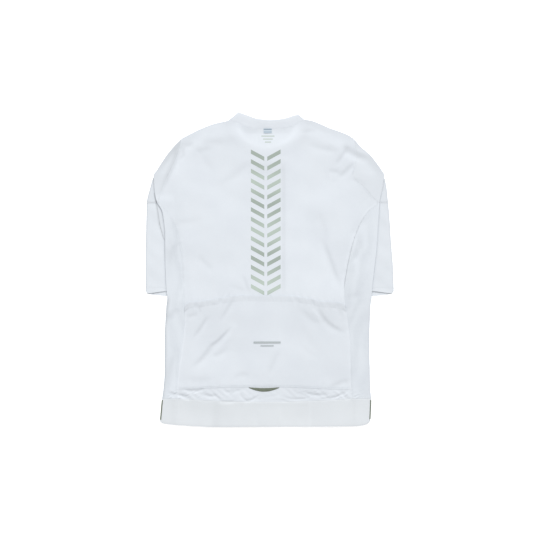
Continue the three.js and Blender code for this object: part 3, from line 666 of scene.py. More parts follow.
def painted_shade_beside_body(x, y):
    """Painted shade on a sleeve right beside the body's edge, the pleat's edge and the sleeve's outer fold.
    """
    left = x < 0
    away = np.abs(x) - side_read(CUT, "edge", x, y)
    tone = -np.where(left, 0.16, 0.1) * bump_at(away, 0.4, 2.2) * (away > -0.5)
    tongue = smooth_read(PLEAT, "outer", y) - x
    tone -= 0.3 * bump_at(tongue, 0.5, 1.7) * left * window(y, 66, 74, 172, 180) * (tongue > -0.5)
    return tone - np.where(left, 0.15, 0.12) * bump_at(side_read(SLEEVES, "outer", x, y), np.abs(x), 2.6)


def cap_tone(x, y):
    edge = side_read(CUT, "edge", x, y)
    # Where the sleeve shows beside the body: painted shade beside its edge and along the underarm seam; the
    # whole cap a little darker
    tone = (np.abs(x) > edge) * (painted_shade_beside_body(x, y) - 0.1 * bump_at(y, UNDERARM, 2.0)) - 0.045
    # Painted shade: on each side's cap, then along the rims of the fold and at the armhole seam on the right
    tone -= 0.025 * (x < 0) * smoothstep(y, 180, 235) + 0.02 * (x > 0) * bump_at(y, 242, 18)
    tone -= 0.07 * bump_at(edge, np.abs(x), 11) * smoothstep(y, 195, 225)
    tone -= 0.055 * bump_at(edge - x, 12, 9) * window(y, 208, 228, 256, 274)
    tone -= 0.05 * bump_at(edge + x, 7, 6) * smoothstep(y, 225, 250)
    tone -= 0.06 * bump_at(x, cut_at("seam_right", y), 1.8) * window(y, *ARMHOLE)
    return tone - painted_crease_shade(x, y)


def band_tone(x, y):
    # Painted shade along the underarm seam, deeper on the left, and beside the body; a darker line at the
    # cuff's stitching; the right band a little darker
    seam = np.where(x < 0, 0.22, 0.1) * bump_at(y, UNDERARM, 2.2)
    stitched = 0.04 * bump_at(y, -43, 1.8)
    return -0.012 * (x < 0) - 0.03 * (x > 0) + painted_shade_beside_body(x, y) - seam - stitched


def hem_tone(x, y):
    tone = -0.02 * bump_at(x, -221, 7) - 0.035 * bump_at(x, -122, 11) + 0.02 * bump_at(x, 92, 4)
    tone -= 0.025 * bump_at(x, 194, 5)
    tone -= 0.02 * bump_at(y, -311, 4) * window(x, -130, -115, 80, 100)
    tone -= 0.02 * smoothstep(x, 165, 190) + 0.014 * smoothstep(-x, 200, 225)
    # A painted highlight along the band's top edge, uneven along it and fading out at the left end
    top = HEM_SEAM + hem_bend(x) - y
    top_highlight = 0.5 + 0.5 * uneven_waves(x, 26, 41)
    return tone + 0.07 * top_highlight * bump_at(top, 1.2, 1.3) * smoothstep(x, -215, -190)


def mouth_tone(x, y):
    # Painted shade over the pocket's edge band, in uneven blotches on its flanks
    shade_blobs = np.maximum(0, uneven_waves(x, 33, 31))
    return -0.034 - (0.008 + 0.045 * shade_blobs) * flank(x)


def collar_tone(x, y):
    return 0.03 * (1 - smoothstep(y - back_top(x), 3, 13))


# Panels

def back_grid(levels, inset=0.0):
    rows = levels[:, None]
    left = cut_at("seam_left", rows) + inset
    right = cut_at("seam_right", rows) - inset
    x = left + (right - left) * BACK_COLUMNS[None]
    return x, bent(GUIDES_BACK, x, rows + 0 * x)


def make_back():
    x, y = back_grid(LEVELS)
    skin = skin_over(x, y)
    return wall("back_cloth", skin, lowered(skin, SKIN), tone=body_tone)


def make_pocket():
    levels = np.linspace(POCKET_FOOT, BINDING_FOOT, 92)
    x, y = back_grid(levels, 0.3)
    beside = np.minimum(x - x[:, :1], x[:, -1:] - x)
    full = smoothstep(levels, POCKET_FOOT, POCKET_FOOT + 7)[:, None] * smoothstep(beside, 0, 7)
    thick = SKIN * (0.4 + 0.6 * full)
    rise = 0.14 + 0.5 * smoothstep(levels, POCKET_FOOT, POCKET_FOOT + 90)
    stand = 0.12 + rise[:, None] * smoothstep(beside, -6, 30)
    skin = skin_over(x, y, stand + thick)
    inner = skin.copy()
    inner[..., 2] -= thick
    return wall("pocket_cloth", skin, inner, tone=body_tone)


def make_binding():
    """A band of gathered elastic, highest at the mouth, from where it slopes down to the pocket."""
    levels = np.linspace(BINDING_FOOT - 2.5, POCKET_MOUTH, 12)
    parts = np.linspace(0.0008, 0.9992, 640)
    left = cut_at("seam_left", levels)[:, None]
    right = cut_at("seam_right", levels)[:, None]
    x = left + (right - left) * parts[None]
    y = bent(GUIDES_BACK, x, levels[:, None] + 0 * x)
    across = ((levels - levels[0]) / (levels[-1] - levels[0]))[:, None]
    rise = 0.8 * across - 0.25 * smoothstep(across, 0.9, 1.0)
    flanks = 0.25 + 0.75 * flank(x)
    gather = 0.1 * uneven_waves(x + 2.0 * across, 9.5, 8, 0.2)
    gather += 0.26 * flanks * uneven_waves(x + 1.5 * across, 27, 18)
    skin = skin_over(x, y, 1.5 + rise + gather * (0.25 + 0.75 * np.sin(math.pi * across)))
    return wall("pocket_edge", skin, lowered(skin, 0.3), tone=mouth_tone)


def make_side(side):
    outward = SIDES[side]
    levels = np.append(LEVELS[LEVELS < UNDERARM - 1], UNDERARM - SEAM_GAP)
    seam = cut_at(f"seam_{side}", levels) + outward * FINE_GAP
    points, faces = wrap(levels, seam, cut_at(f"edge_{side}", levels), seam)
    return new_object(f"side_cloth_{side}", points, faces, side_tone)


def make_front(side):
    outward = SIDES[side]
    levels = LEVELS[::2]
    below = cut_at(f"seam_{side}", levels)
    above = smooth_read(FRONT_ARMHOLE, side, levels)
    seam = np.where(levels > UNDERARM, above, below)[:, None]
    parts = spaced([0, 0.58, 1], [22, 20])[None]
    x = between(seam, outward * ZIP_GAP, parts)
    y = bent(GUIDES_FRONT, x, levels[:, None] + 0 * x)
    low = np.stack([x, y, lift(x, y)], -1)
    return wall(f"front_cloth_{side}", lowered(low, -SKIN), low)


def tube_rows(inner, outer, levels, y_of=None):
    """A flattened tube on the table through rows, as outer and inner skins."""
    outward = np.sign(outer[0])
    start = inner + outward * TURN
    end = outer - outward * TURN
    across = spaced([0, 0.55, 0.97, 1], [14, 22, 3])
    parts = np.concatenate([across, np.ones(ROUND), across[::-1], np.zeros(ROUND)])
    level = np.full(len(across), 90.0)
    turns = np.concatenate([level, fold_turns(90, -90), -level, fold_turns(270, 90)])
    x = between(start[:, None], end[:, None], parts)
    up = np.sin(np.radians(turns))
    side = np.cos(np.radians(turns)) * outward
    y = levels[:, None] + 0 * x
    if y_of is not None:
        y = y_of(x, up, y)
    soft = sleeve_swell(x, y) * (up > 0.99)
    skins = []
    for radius in (TURN, TURN - SKIN):
        skins.append(np.stack([x + side * radius, y, TURN + up * radius + soft], -1))
    return skins


def sleeve_swell(x, y):
    """The strip of sleeve beside the body: slightly rounded and uneven, with its seam and hem stitched in."""
    out = np.abs(x)
    edge = side_read(SLEEVES, "outer", x, y)
    shown = smoothstep(out - side_read(CUT, "edge", x, y), 0, 8) * smoothstep(edge - out, 1, 9)
    swell = 0.55 + 0.25 * np.sin(y / 17.0) + 0.2 * np.sin(y / 7.3 + x / 9)
    seam = 0.4 * bump_at(edge - out, 13, 1.1) * (x < 0)
    hem = 0.35 * bump_at(y, -42, 1.2)
    return shown * (swell - seam - hem)


def make_sleeve_band(side):
    levels = spaced([SLEEVE_FOOT, -30, UNDERARM - SEAM_GAP], [11, 89])
    inner = smooth_read(SLEEVES, f"inner_{side}", levels)
    outer = smooth_read(SLEEVES, f"outer_{side}", levels)

    def cuff(x, up, y):
        out = np.abs(x)
        upper = smooth_read(CUFFS, "upper", out)
        lower = smooth_read(CUFFS, "lower", out)
        end = lower + (upper - lower) * (up + 1) / 2
        return y + (end - SLEEVE_FOOT) * (1 - smoothstep(y, SLEEVE_FOOT, -18))

    skins = tube_rows(inner, outer, levels, cuff)
    return wall(f"sleeve_band_cloth_{side}", skins[0], skins[1], True, band_tone)


def make_sleeve_upper(side):
    outward = SIDES[side]
    levels = np.append(LEVELS[(LEVELS >= UNDERARM) & (LEVELS < CAP_TOP)], CAP_TOP)
    top_seam = cut_at(f"seam_{side}", levels) + outward * FINE_GAP
    under_seam = smooth_read(FRONT_ARMHOLE, side, levels) + outward * SEAM_GAP
    edge = cut_at(f"edge_{side}", levels)
    wide_enough = np.abs(edge) - np.abs(top_seam) > 1.4
    cap = wrap(*(values[wide_enough] for values in (levels, top_seam, edge, under_seam)))
    rows = np.linspace(UNDERARM, STRIP_TOP, 34)
    inner = smooth_read(SLEEVES, f"inner_{side}", rows)
    outer = smooth_read(SLEEVES, f"outer_{side}", rows)
    strip = wall_arrays(*tube_rows(inner, outer, rows), True)
    parts = [cap, strip]
    if side == "left":
        y = np.linspace(69, 176, 60)
        inner = smooth_read(PLEAT, "inner", y)
        outer = smooth_read(PLEAT, "outer", y)
        part = np.linspace(0, 1, 8)[None]
        x = between(outer[:, None], inner[:, None], part)
        z = STACK + 1.0 - 0.5 * (1 - part) ** 3
        skin = np.stack(np.broadcast_arrays(x, y[:, None], z), -1)
        parts.append(wall_arrays(skin, lowered(skin, SKIN)))
    return joined(f"sleeve_cloth_{side}", parts, cap_tone)


HEM_BAND = {"high": 61, "rib": 4.4, "rib_rise": 0.12}


def make_hem():
    """The band from zip to zip: below on the left, round the fold, across on top, and back below."""
    down = np.linspace(0, 1, 26)[:, None]
    level = HEM_SEAM + (HEM_FOOT - HEM_SEAM) * down
    left = cut_at("edge_left", level) + TURN
    right = cut_at("edge_right", level) - TURN
    under = np.linspace(0, 1, 30)
    top = np.linspace(-1, 1, 260)
    below = np.full(len(under), 270.0)
    turns = np.concatenate([below, fold_turns(270, 90), np.full(len(top), 90.0), fold_turns(90, -90), below])
    x = np.concatenate([
        -ZIP_GAP + (left + ZIP_GAP) * under,
        np.repeat(left, ROUND, 1),
        np.where(top < 0, -top * left, top * right),
        np.repeat(right, ROUND, 1),
        (ZIP_GAP + (right - ZIP_GAP) * under)[:, ::-1],
    ], 1)
    on_top = turns == 90
    seam = HEM_SEAM - FINE_GAP + np.where(on_top, hem_bend(x), 0)
    y = seam + (smooth_read(HEM_EDGE, "y", x) - seam) * down
    ribs = HEM_BAND["rib_rise"] * np.sin(2 * math.pi * down * HEM_BAND["high"] / HEM_BAND["rib"])
    ripple = 0.35 * bump_at(down, 1, 0.25) * uneven_waves(x, 46, 12)
    roll = -0.3 * bump_at(down, 1, 0.04) - 0.15 * bump_at(down, 0, 0.03)
    above = np.where(on_top, ribs + ripple + roll, 0)
    outer, inner = layer_pair(x, y, turns, above)
    return wall("hem_cloth", outer, inner, tone=hem_tone)


def collar_ribs():
    """Feet, heads, turn and place across the back of the neck, from zip to zip round the back."""
    out = np.linspace(ZIP_GAP, NECK_OUT, 34)
    free_x = smooth_read(FRONT_COLLAR, "free_x", out)
    free_y = smooth_read(FRONT_COLLAR, "free_y", out)
    left_foot = np.stack([-out, front_top(-out)], -1)
    left_head = np.stack([-free_x, free_y], -1)
    left_head[-1] = BACK_COLLAR["x"][0], BACK_COLLAR["y"][0]
    right_x = out * NECK_RIGHT["seam"]
    right_foot = np.stack([right_x, front_top(right_x)], -1)
    drop = NECK_RIGHT["free_drop"] * smoothstep(out, 60, NECK_OUT)
    right_head = np.stack([np.maximum(ZIP_GAP, free_x * NECK_RIGHT["free"]), free_y + drop], -1)
    across = np.linspace(0, 1, 90)
    back_x = COLLAR_LEFT + (NECK_OUT_RIGHT - COLLAR_LEFT) * across
    head_x = BACK_COLLAR["x"][0] + (BACK_COLLAR["x"][-1] - BACK_COLLAR["x"][0]) * across
    back_foot = np.stack([back_x, back_top(np.minimum(back_x, NECK_OUT_RIGHT))], -1)
    back_head = np.stack([head_x, smooth_read(BACK_COLLAR, "y", head_x)], -1)

    def all_round(left, back, right):
        folds = [np.repeat(back[:1], ROUND, 0), np.repeat(back[-1:], ROUND, 0)]
        return np.concatenate([left, folds[0], back, folds[1], right[::-1]])

    below = np.full(len(out), 270.0)
    turns = [below, fold_turns(270, 90), np.full(len(across), 90.0), fold_turns(90, -90), below]
    places = [np.zeros(len(out) + ROUND), across, np.ones(len(out) + ROUND)]
    feet = all_round(left_foot, back_foot, right_foot)
    heads = all_round(left_head, back_head, right_head)
    return feet, heads, np.concatenate(turns), np.concatenate(places)


def make_collar():
    foot, head, turn, across = collar_ribs()
    high = np.linspace(0, 1, 22)[:, None]
    length = np.hypot(*(head - foot).T)[None]
    part = FINE_GAP / length + (1 - FINE_GAP / length) * high
    x = between(foot[None, :, 0], head[None, :, 0], part)
    y = between(foot[None, :, 1], head[None, :, 1], part)
    body = COLLAR_RISE * high * np.sin(math.pi * across)[None]
    crown = 0.5 * np.sin(math.pi * high)
    edge = -0.15 * bump_at(high, 0, 0.06) - 0.35 * bump_at(high, 1, 0.06)
    above = np.where(turn == 90, body + crown + edge + 0.12 * uneven_waves(x, 15, 14), 0)
    outer, inner = layer_pair(x, y, turn, above)
    return wall("collar_cloth", outer, inner, tone=collar_tone)


# Small pieces on the back

TAB = {"left": -48, "right": 22, "top": -270.1, "deep": 7.4, "sag": 1.6}
LABEL = {"centre": -4.6, "wide": 18.4, "top": 323.8, "foot": 312.4, "lines": (321.1, 315.4)}

# Film on the hem band: from top to foot as parts of its height, how far it comes in, and its two faces
FILM = {"top": 0.06, "foot": 0.9, "wide": 1.4, "outer": 0.5, "inner": 0.3}


def make_tab():
    x = np.linspace(TAB["left"], TAB["right"], 90)
    across = (x - TAB["left"]) / (TAB["right"] - TAB["left"])
    arch = np.sin(math.pi * across)
    part = np.linspace(0, 1, 16)[:, None]
    y = TAB["top"] - TAB["sag"] * arch - part * (0.7 + TAB["deep"] * arch ** 0.85)
    skin = skin_over(x + 0 * y, y, 0.95 - 0.25 * part ** 6)
    return wall("crescent_piece", skin, lowered(skin, 0.6))


def make_slivers():
    """Reflective film on both side folds of the hem band."""
    down = np.linspace(FILM["top"], FILM["foot"], 40)
    level = HEM_SEAM + (HEM_FOOT - HEM_SEAM) * down
    inset = np.concatenate([[FILM["wide"], FILM["wide"] / 2], np.zeros(11)])
    seam = HEM_SEAM - FINE_GAP
    parts = []
    for side, outward in SIDES.items():
        centre = cut_at(f"edge_{side}", level) - outward * TURN
        x = centre[:, None] - outward * inset[None]
        y = seam + (smooth_read(HEM_EDGE, "y", x) - seam) * down[:, None]
        turn = np.concatenate([[90, 90], fold_turns(90, 90 - 180 * outward, 11)])
        outer, _ = layer_pair(x, y, turn)
        facing = np.stack([np.cos(np.radians(turn)), 0 * turn, np.sin(np.radians(turn))], -1)
        parts.append(wall_arrays(outer + FILM["outer"] * facing, outer + FILM["inner"] * facing))
    return joined("hem_slivers", parts)


def make_label():
    x = np.linspace(LABEL["centre"] - LABEL["wide"] / 2, LABEL["centre"] + LABEL["wide"] / 2, 30)
    y = np.linspace(LABEL["foot"], LABEL["top"], 20)
    x, y = np.meshgrid(x, y)
    skin = skin_over(x, y, 0.8 + 0.9 * smoothstep(y, 320, 323.5))
    return wall("label_piece", skin, lowered(skin, 0.5))


# Generic print on the centre back: mirrored slanting bars, darker and paler in turn

PRINT = {"centre": -9, "half": 34, "top": 262, "foot": -50, "pitch": 22, "bar": 9.5, "slant": 0.55, "gap": 7}
PRINT_FADE = {"length": 118, "deep": 0.17}

# Plain marks on the pocket and below the neck: middle, half width and half height
POCKET_MARKS = [(-6, -167, 31, 2.2), (-6, -174.5, 15, 1.2)]
NECK_MARKS = [(-4, 306, 15, 1.6), (-4, 299, 11, 1.6), (-4, 292, 7, 1.6)]
POCKET_FACE = 1.45 + SKIN


def print_tone(x, y):
    wave = 1 - np.cos(2 * math.pi * (y - PRINT["top"]) / PRINT_FADE["length"])
    return PRINT_FADE["deep"] * wave + 0.1 * smoothstep(-y, 20, 50)


def bar_patch(centre_x, centre_y, half_x, half_y, slant=0.0, above=0.12):
    part_x = np.linspace(-1, 1, max(4, int(half_x)))
    part_y = np.linspace(-1, 1, 8)
    gx, gy = np.meshgrid(part_x * half_x, part_y * half_y)
    x = centre_x + gx
    y = centre_y + gy + slant * gx
    skin = skin_over(x, y, above)
    return wall_arrays(skin, lowered(skin, 0.1))


def make_print():
    parts = []
    half = (PRINT["half"] - PRINT["gap"] / 2) / 2
    for y in np.arange(PRINT["top"], PRINT["foot"], -PRINT["pitch"]):
        for side in (-1, 1):
            x = PRINT["centre"] + side * (half + PRINT["gap"] / 2)
            parts.append(bar_patch(x, y, half, PRINT["bar"] / 2, side * PRINT["slant"]))
    return joined("print_bars", parts, print_tone)


def make_marks(name, marks, above):
    return joined(name, [bar_patch(*mark, above=above) for mark in marks])


# Stitching

STITCH = {"pitch": 3.0, "long": 2.1, "thick": 0.34, "flat": 0.6}

# Rows of stitches: how far they run from their seam, and how high they lie on the cloth
SEAM_STITCH = 2.2
FOOT_STITCHES = (2.4, 5.0)
HEM_STITCHES = ((2.2, 0.12), (-3.2, 0.15))
NECK_STITCH = -2.4
STITCH_RISE = 0.12
FOOT_STITCH_RISE = 1.25 + SKIN * 0.4


def stitch_line(x, y, z):
    """Thread along a line of points: one small five-sided grain a stitch, thin at both ends."""
    path = np.stack([x, y, z], -1)
    steps = np.linalg.norm(np.diff(path, axis=0), axis=1)
    length = np.concatenate([[0], np.cumsum(steps)])
    angles = np.arange(5)[:, None] * 2 * math.pi / 5
    up = np.array([0, 0, STITCH["flat"]])
    parts = []
    for k in range(int(length[-1] / STITCH["pitch"])):
        spots = []
        for part in (0, 0.5, 1):
            at = k * STITCH["pitch"] + part * STITCH["long"]
            spots.append(np.array([np.interp(at, length, path[:, c]) for c in range(3)]))
        along = (spots[2] - spots[0]) / np.linalg.norm(spots[2] - spots[0])
        across = np.array([-along[1], along[0], 0])
        section = STITCH["thick"] * (np.cos(angles) * across + np.sin(angles) * up)
        parts.append(closed_tube([spot + size * section for spot, size in zip(spots, (0.35, 1.0, 0.35))]))
    return parts


def over(x, y, above):
    """A line of points laid on the top layer."""
    return x, y, top_height(x, y) + above


def make_stitches():
    lines = []
    body = np.linspace(-292, 150, 300)
    arm = np.linspace(160, 292, 120)
    for side in SIDES:
        for levels in (body, arm):
            seam = cut_at(f"seam_{side}", levels)
            for off in (-SEAM_STITCH, SEAM_STITCH):
                lines.append(over(seam + off, levels, STITCH_RISE))
    foot = np.linspace(-205, 182, 260)
    lines += [over(foot, foot_line(foot) + off, FOOT_STITCH_RISE) for off in FOOT_STITCHES]
    hem = np.linspace(-240, 226, 300)
    lines += [over(hem, HEM_SEAM + hem_bend(hem) + off, rise) for off, rise in HEM_STITCHES]
    neck = np.linspace(-84, 74, 120)
    lines.append(over(neck, back_top(neck) + NECK_STITCH, STITCH_RISE))
    parts = [part for line in lines for part in stitch_line(*line)]
    return joined("stitching", parts, smooth_angle=60)


# A tooth of the coil: half its width and height, how high it lies, and its rings as (out, fatness)
TOOTH = {"pitch": 1.5, "half_wide": 0.48, "half_high": 0.5, "above": 1.85}
TOOTH_RINGS = [(-0.6, 1.0), (0.95, 0.75), (2.5, 0.9)]


def make_zip_teeth():
    """Two rows of coil, linked in the middle, in the place of the plain chain."""
    low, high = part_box("zip_chain")
    foot, head = low.y / MM, high.y / MM
    parts = []
    for k in range(int((head - foot - 1) / TOOTH["pitch"])):
        y = foot + 0.8 + k * TOOTH["pitch"]
        z = float(lift(np.array(0.0), np.array(y))) + TOOTH["above"]
        side = -1 if k % 2 else 1
        rings = []
        for out, fat in TOOTH_RINGS:
            wide, tall = fat * TOOTH["half_wide"], fat * TOOTH["half_high"]
            corners = ((-wide, -tall), (wide, -tall), (wide, tall), (-wide, tall))
            rings.append([(side * out, y + a, z + b) for a, b in corners])
        points, faces = closed_tube(rings)
        parts.append((points, faces if side > 0 else [face[::-1] for face in faces]))
    return joined("zip_coil_teeth", parts, smooth_angle=30)


# Materials

# The darker and the lighter white of each cloth
WHITES = {
    "body": ((0.708, 0.748, 0.798), (0.728, 0.768, 0.815)),
    "side": ((0.690, 0.731, 0.780), (0.710, 0.751, 0.798)),
    "sleeve": ((0.708, 0.748, 0.795), (0.728, 0.768, 0.815)),
    "collar": ((0.712, 0.750, 0.800), (0.732, 0.770, 0.818)),
    "hem": ((0.705, 0.738, 0.770), (0.725, 0.758, 0.788)),
}


class Shader:
    """A material's node tree, built a node at a time."""

    def __init__(self, name):
        self.material = bpy.data.materials.new(name)
        self.material.use_nodes = True
        self.tree = self.material.node_tree
        self.surface = self.tree.nodes["Principled BSDF"]
        self.place = self.add("ShaderNodeTexCoord").outputs["Object"]

    def add(self, kind, **settings):
        node = self.tree.nodes.new(kind)
        for name, value in settings.items():
            setattr(node, name, value)
        return node

    def put(self, socket, value):
        if isinstance(value, bpy.types.NodeSocket):
            self.tree.links.new(value, socket)
        else:
            socket.default_value = value

    def math(self, operation, first, second=0.0):
        node = self.add("ShaderNodeMath", operation=operation)
        for socket, value in zip(node.inputs, (first, second)):
            self.put(socket, value)
        return node.outputs[0]

    def noise(self, scale, detail=2.0):
        node = self.add("ShaderNodeTexNoise")
        self.put(node.inputs["Vector"], self.place)
        node.inputs["Scale"].default_value = scale
        node.inputs["Detail"].default_value = detail
        return node.outputs["Fac"]

    def waves(self, direction, length, distortion=0.0):
        node = self.add("ShaderNodeTexWave", bands_direction=direction)
        self.put(node.inputs["Vector"], self.place)
        node.inputs["Scale"].default_value = 2 * math.pi / (20 * length)
        node.inputs["Distortion"].default_value = distortion
        return node.outputs["Fac"]

    def ramp(self, value, low, high, to_low=0.0, to_high=1.0):
        node = self.add("ShaderNodeMapRange", interpolation_type="SMOOTHSTEP")
        for socket, number in zip(node.inputs, (value, low, high, to_low, to_high)):
            self.put(socket, number)
        return node.outputs[0]

    def blend(self, part, first, second):
        node = self.add("ShaderNodeMix", data_type="RGBA")
        self.put(node.inputs["Factor"], part)
        for socket, value in zip((node.inputs[6], node.inputs[7]), (first, second)):
            self.put(socket, (*value, 1.0) if isinstance(value, tuple) else value)
        return node.outputs[2]

    def axis(self, letter):
        node = self.add("ShaderNodeSeparateXYZ")
        self.put(node.inputs[0], self.place)
        return node.outputs[letter]

    def bump(self, height, distance, strength):
        node = self.add("ShaderNodeBump")
        node.inputs["Distance"].default_value = distance
        node.inputs["Strength"].default_value = strength
        self.put(node.inputs["Height"], height)
        return node.outputs["Normal"]

    def toned(self, colour):
        """Darkens or lightens a colour by the mesh's tone: what shows through the cloth, the print's fades,
        and painted shade and highlights.
        """
        tone = self.add("ShaderNodeAttribute", attribute_name="tone").outputs["Fac"]
        node = self.add("ShaderNodeVectorMath", operation="SCALE")
        self.put(node.inputs[0], colour)
        self.put(node.inputs["Scale"], self.math("ADD", tone, 1.0))
        return node.outputs[0]

    def white(self, cloth, scale):
        """A cloth's clouded white, with its tone."""
        clouds = self.ramp(self.noise(scale, 3.0), 0.3, 0.7)
        return self.toned(self.blend(clouds, *WHITES[cloth]))

    def plain(self, pattern, colours, roughness, distance, strength=0.5):
        """Ends a material in which one pattern mixes two colours and gives the relief."""
        colour = self.blend(pattern, *colours)
        return self.finish(colour, roughness, self.bump(pattern, distance, strength))

    def finish(self, colour, roughness, normal=None, sheen=0.0):
        self.put(self.surface.inputs["Base Color"], colour)
        self.put(self.surface.inputs["Roughness"], roughness)
        self.surface.inputs["Sheen Weight"].default_value = sheen
        self.surface.inputs["Specular IOR Level"].default_value = 0.3
        if normal is not None:
            self.put(self.surface.inputs["Normal"], normal)
        return self.material


def knit(shader, course=0.0011, wale=0.0009):
    """Height of a fine knit: courses across, wales down."""
    rows = shader.waves("Y", course)
    ribs = shader.waves("X", wale)
    return shader.math("MULTIPLY", rows, ribs)


def body_material():
    shader = Shader("body_knit")
    fine = shader.noise(900.0)
    colour = shader.white("body", 14.0)
    height = shader.math("ADD", knit(shader), shader.math("MULTIPLY", fine, 0.5))
    roughness = shader.ramp(fine, 0.2, 0.8, 0.78, 0.92)
    return shader.finish(colour, roughness, shader.bump(height, 0.00022, 0.6), 0.15)


def side_material():
    shader = Shader("side_mesh")
    holes = shader.add("ShaderNodeTexVoronoi")
    shader.put(holes.inputs["Vector"], shader.place)
    holes.inputs["Scale"].default_value = 520.0
    holes.inputs["Randomness"].default_value = 0.15
    pits = shader.ramp(holes.outputs["Distance"], 0.25, 0.5, 1.0, 0.0)
    colour = shader.white("side", 18.0)
    # Painted shade in the mesh's holes, which are mixed up to a tenth toward grey
    colour = shader.blend(shader.math("MULTIPLY", pits, 0.1), colour, (0.5, 0.56, 0.62))
    height = shader.math("SUBTRACT", 1.0, pits)
    return shader.finish(colour, 0.86, shader.bump(height, 0.0003, 0.6), 0.12)


def sleeve_material():
    shader = Shader("sleeve_stretch")
    ribs = shader.waves("X", 0.0016, 0.4)
    fine = shader.noise(1100.0)
    colour = shader.white("sleeve", 20.0)
    height = shader.math("ADD", shader.math("MULTIPLY", ribs, 0.6), shader.math("MULTIPLY", fine, 0.4))
    return shader.finish(colour, 0.62, shader.bump(height, 0.00018, 0.5), 0.2)


def collar_material():
    shader = Shader("collar_knit")
    colour = shader.white("collar", 30.0)
    return shader.finish(colour, 0.8, shader.bump(knit(shader, 0.0013, 0.0013), 0.00025, 0.6), 0.15)


def gripper_material():
    shader = Shader("gripper_elastic")
    ribs = shader.waves("Y", 0.0022)
    threads = shader.waves("X", 0.0008)
    colour = shader.white("hem", 12.0)
    colour = shader.blend(shader.math("MULTIPLY", ribs, 0.08), colour, (0.66, 0.69, 0.71))
    height = shader.math("ADD", shader.math("MULTIPLY", ribs, 0.8), shader.math("MULTIPLY", threads, 0.25))
    return shader.finish(colour, 0.8, shader.bump(height, 0.0004, 0.6), 0.1)


def binding_material():
    shader = Shader("binding_elastic")
    threads = shader.waves("X", 0.0009)
    colour = shader.white("body", 40.0)
    return shader.finish(colour, 0.75, shader.bump(threads, 0.0002, 0.5), 0.15)


PRINT_COLOURS = {
    "sage_print": (0.34, 0.395, 0.355),
    "grey_print": (0.42, 0.46, 0.475),
    "pale_print": (0.52, 0.58, 0.56),
}


def print_material(name):
    shader = Shader(name)
    colour = PRINT_COLOURS[name]
    speck = shader.noise(700.0)
    worn = shader.ramp(speck, 0.35, 0.65, 0.0, 0.18)
    mixed = shader.toned(shader.blend(worn, colour, tuple(min(1.0, c * 1.25) for c in colour)))
    return shader.finish(mixed, shader.ramp(speck, 0.3, 0.7, 0.42, 0.55), shader.bump(speck, 0.00008, 0.5))


def tab_material():
    shader = Shader("crescent_film")
    speck = shader.noise(900.0)
    colour = shader.blend(shader.ramp(speck, 0.35, 0.65), (0.135, 0.155, 0.12), (0.19, 0.215, 0.17))
    return shader.finish(colour, shader.ramp(speck, 0.3, 0.7, 0.4, 0.6), shader.bump(speck, 0.0001, 0.5))


def label_material():
    """Satin with two plain woven lines across it."""
    shader = Shader("label_satin")
    lines = []
    for at in LABEL["lines"]:
        away = shader.math("ABSOLUTE", shader.math("SUBTRACT", shader.axis("Y"), at * MM))
        lines.append(shader.ramp(away, 0.0012, 0.0018, 1.0, 0.0))
    lined = shader.math("MULTIPLY", shader.math("ADD", *lines), 0.8)
    threads = shader.waves("X", 0.0006)
    colour = shader.blend(lined, (0.60, 0.68, 0.74), (0.30, 0.38, 0.47))
    return shader.finish(colour, 0.5, shader.bump(threads, 0.0001, 0.5), 0.1)


def thread_material():
    shader = Shader("white_thread")
    twist = shader.waves("DIAGONAL", 0.0007)
    return shader.plain(twist, ((0.80, 0.84, 0.87), (0.70, 0.74, 0.78)), 0.6, 0.0001)


def tape_material():
    shader = Shader("zip_tape_weave")
    threads = shader.waves("Y", 0.0008)
    return shader.plain(threads, ((0.74, 0.77, 0.80), (0.80, 0.83, 0.85)), 0.75, 0.0002)


def coil_material():
    shader = Shader("zip_nylon")
    speck = shader.noise(300.0)
    return shader.plain(speck, ((0.72, 0.74, 0.76), (0.78, 0.80, 0.81)), 0.4, 0.00005, 0.3)


def metal_material():
    shader = Shader("zip_enamel")
    shader.surface.inputs["Metallic"].default_value = 0.7
    speck = shader.noise(400.0, 3.0)
    roughness = shader.ramp(speck, 0.3, 0.7, 0.28, 0.42)
    return shader.plain(speck, ((0.50, 0.52, 0.54), (0.60, 0.62, 0.63)), roughness, 0.00004, 0.3)


def paint(piece, material):
    piece.data.materials.clear()
    piece.data.materials.append(material)


def dress(piece, material, slot, *nodes):
    """Gives a piece its material and body, and the nodes that it takes the place of; slot is not used."""
    paint(piece, material)
    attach(piece, JERSEY)
    if nodes:
        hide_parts(*nodes)
    return piece


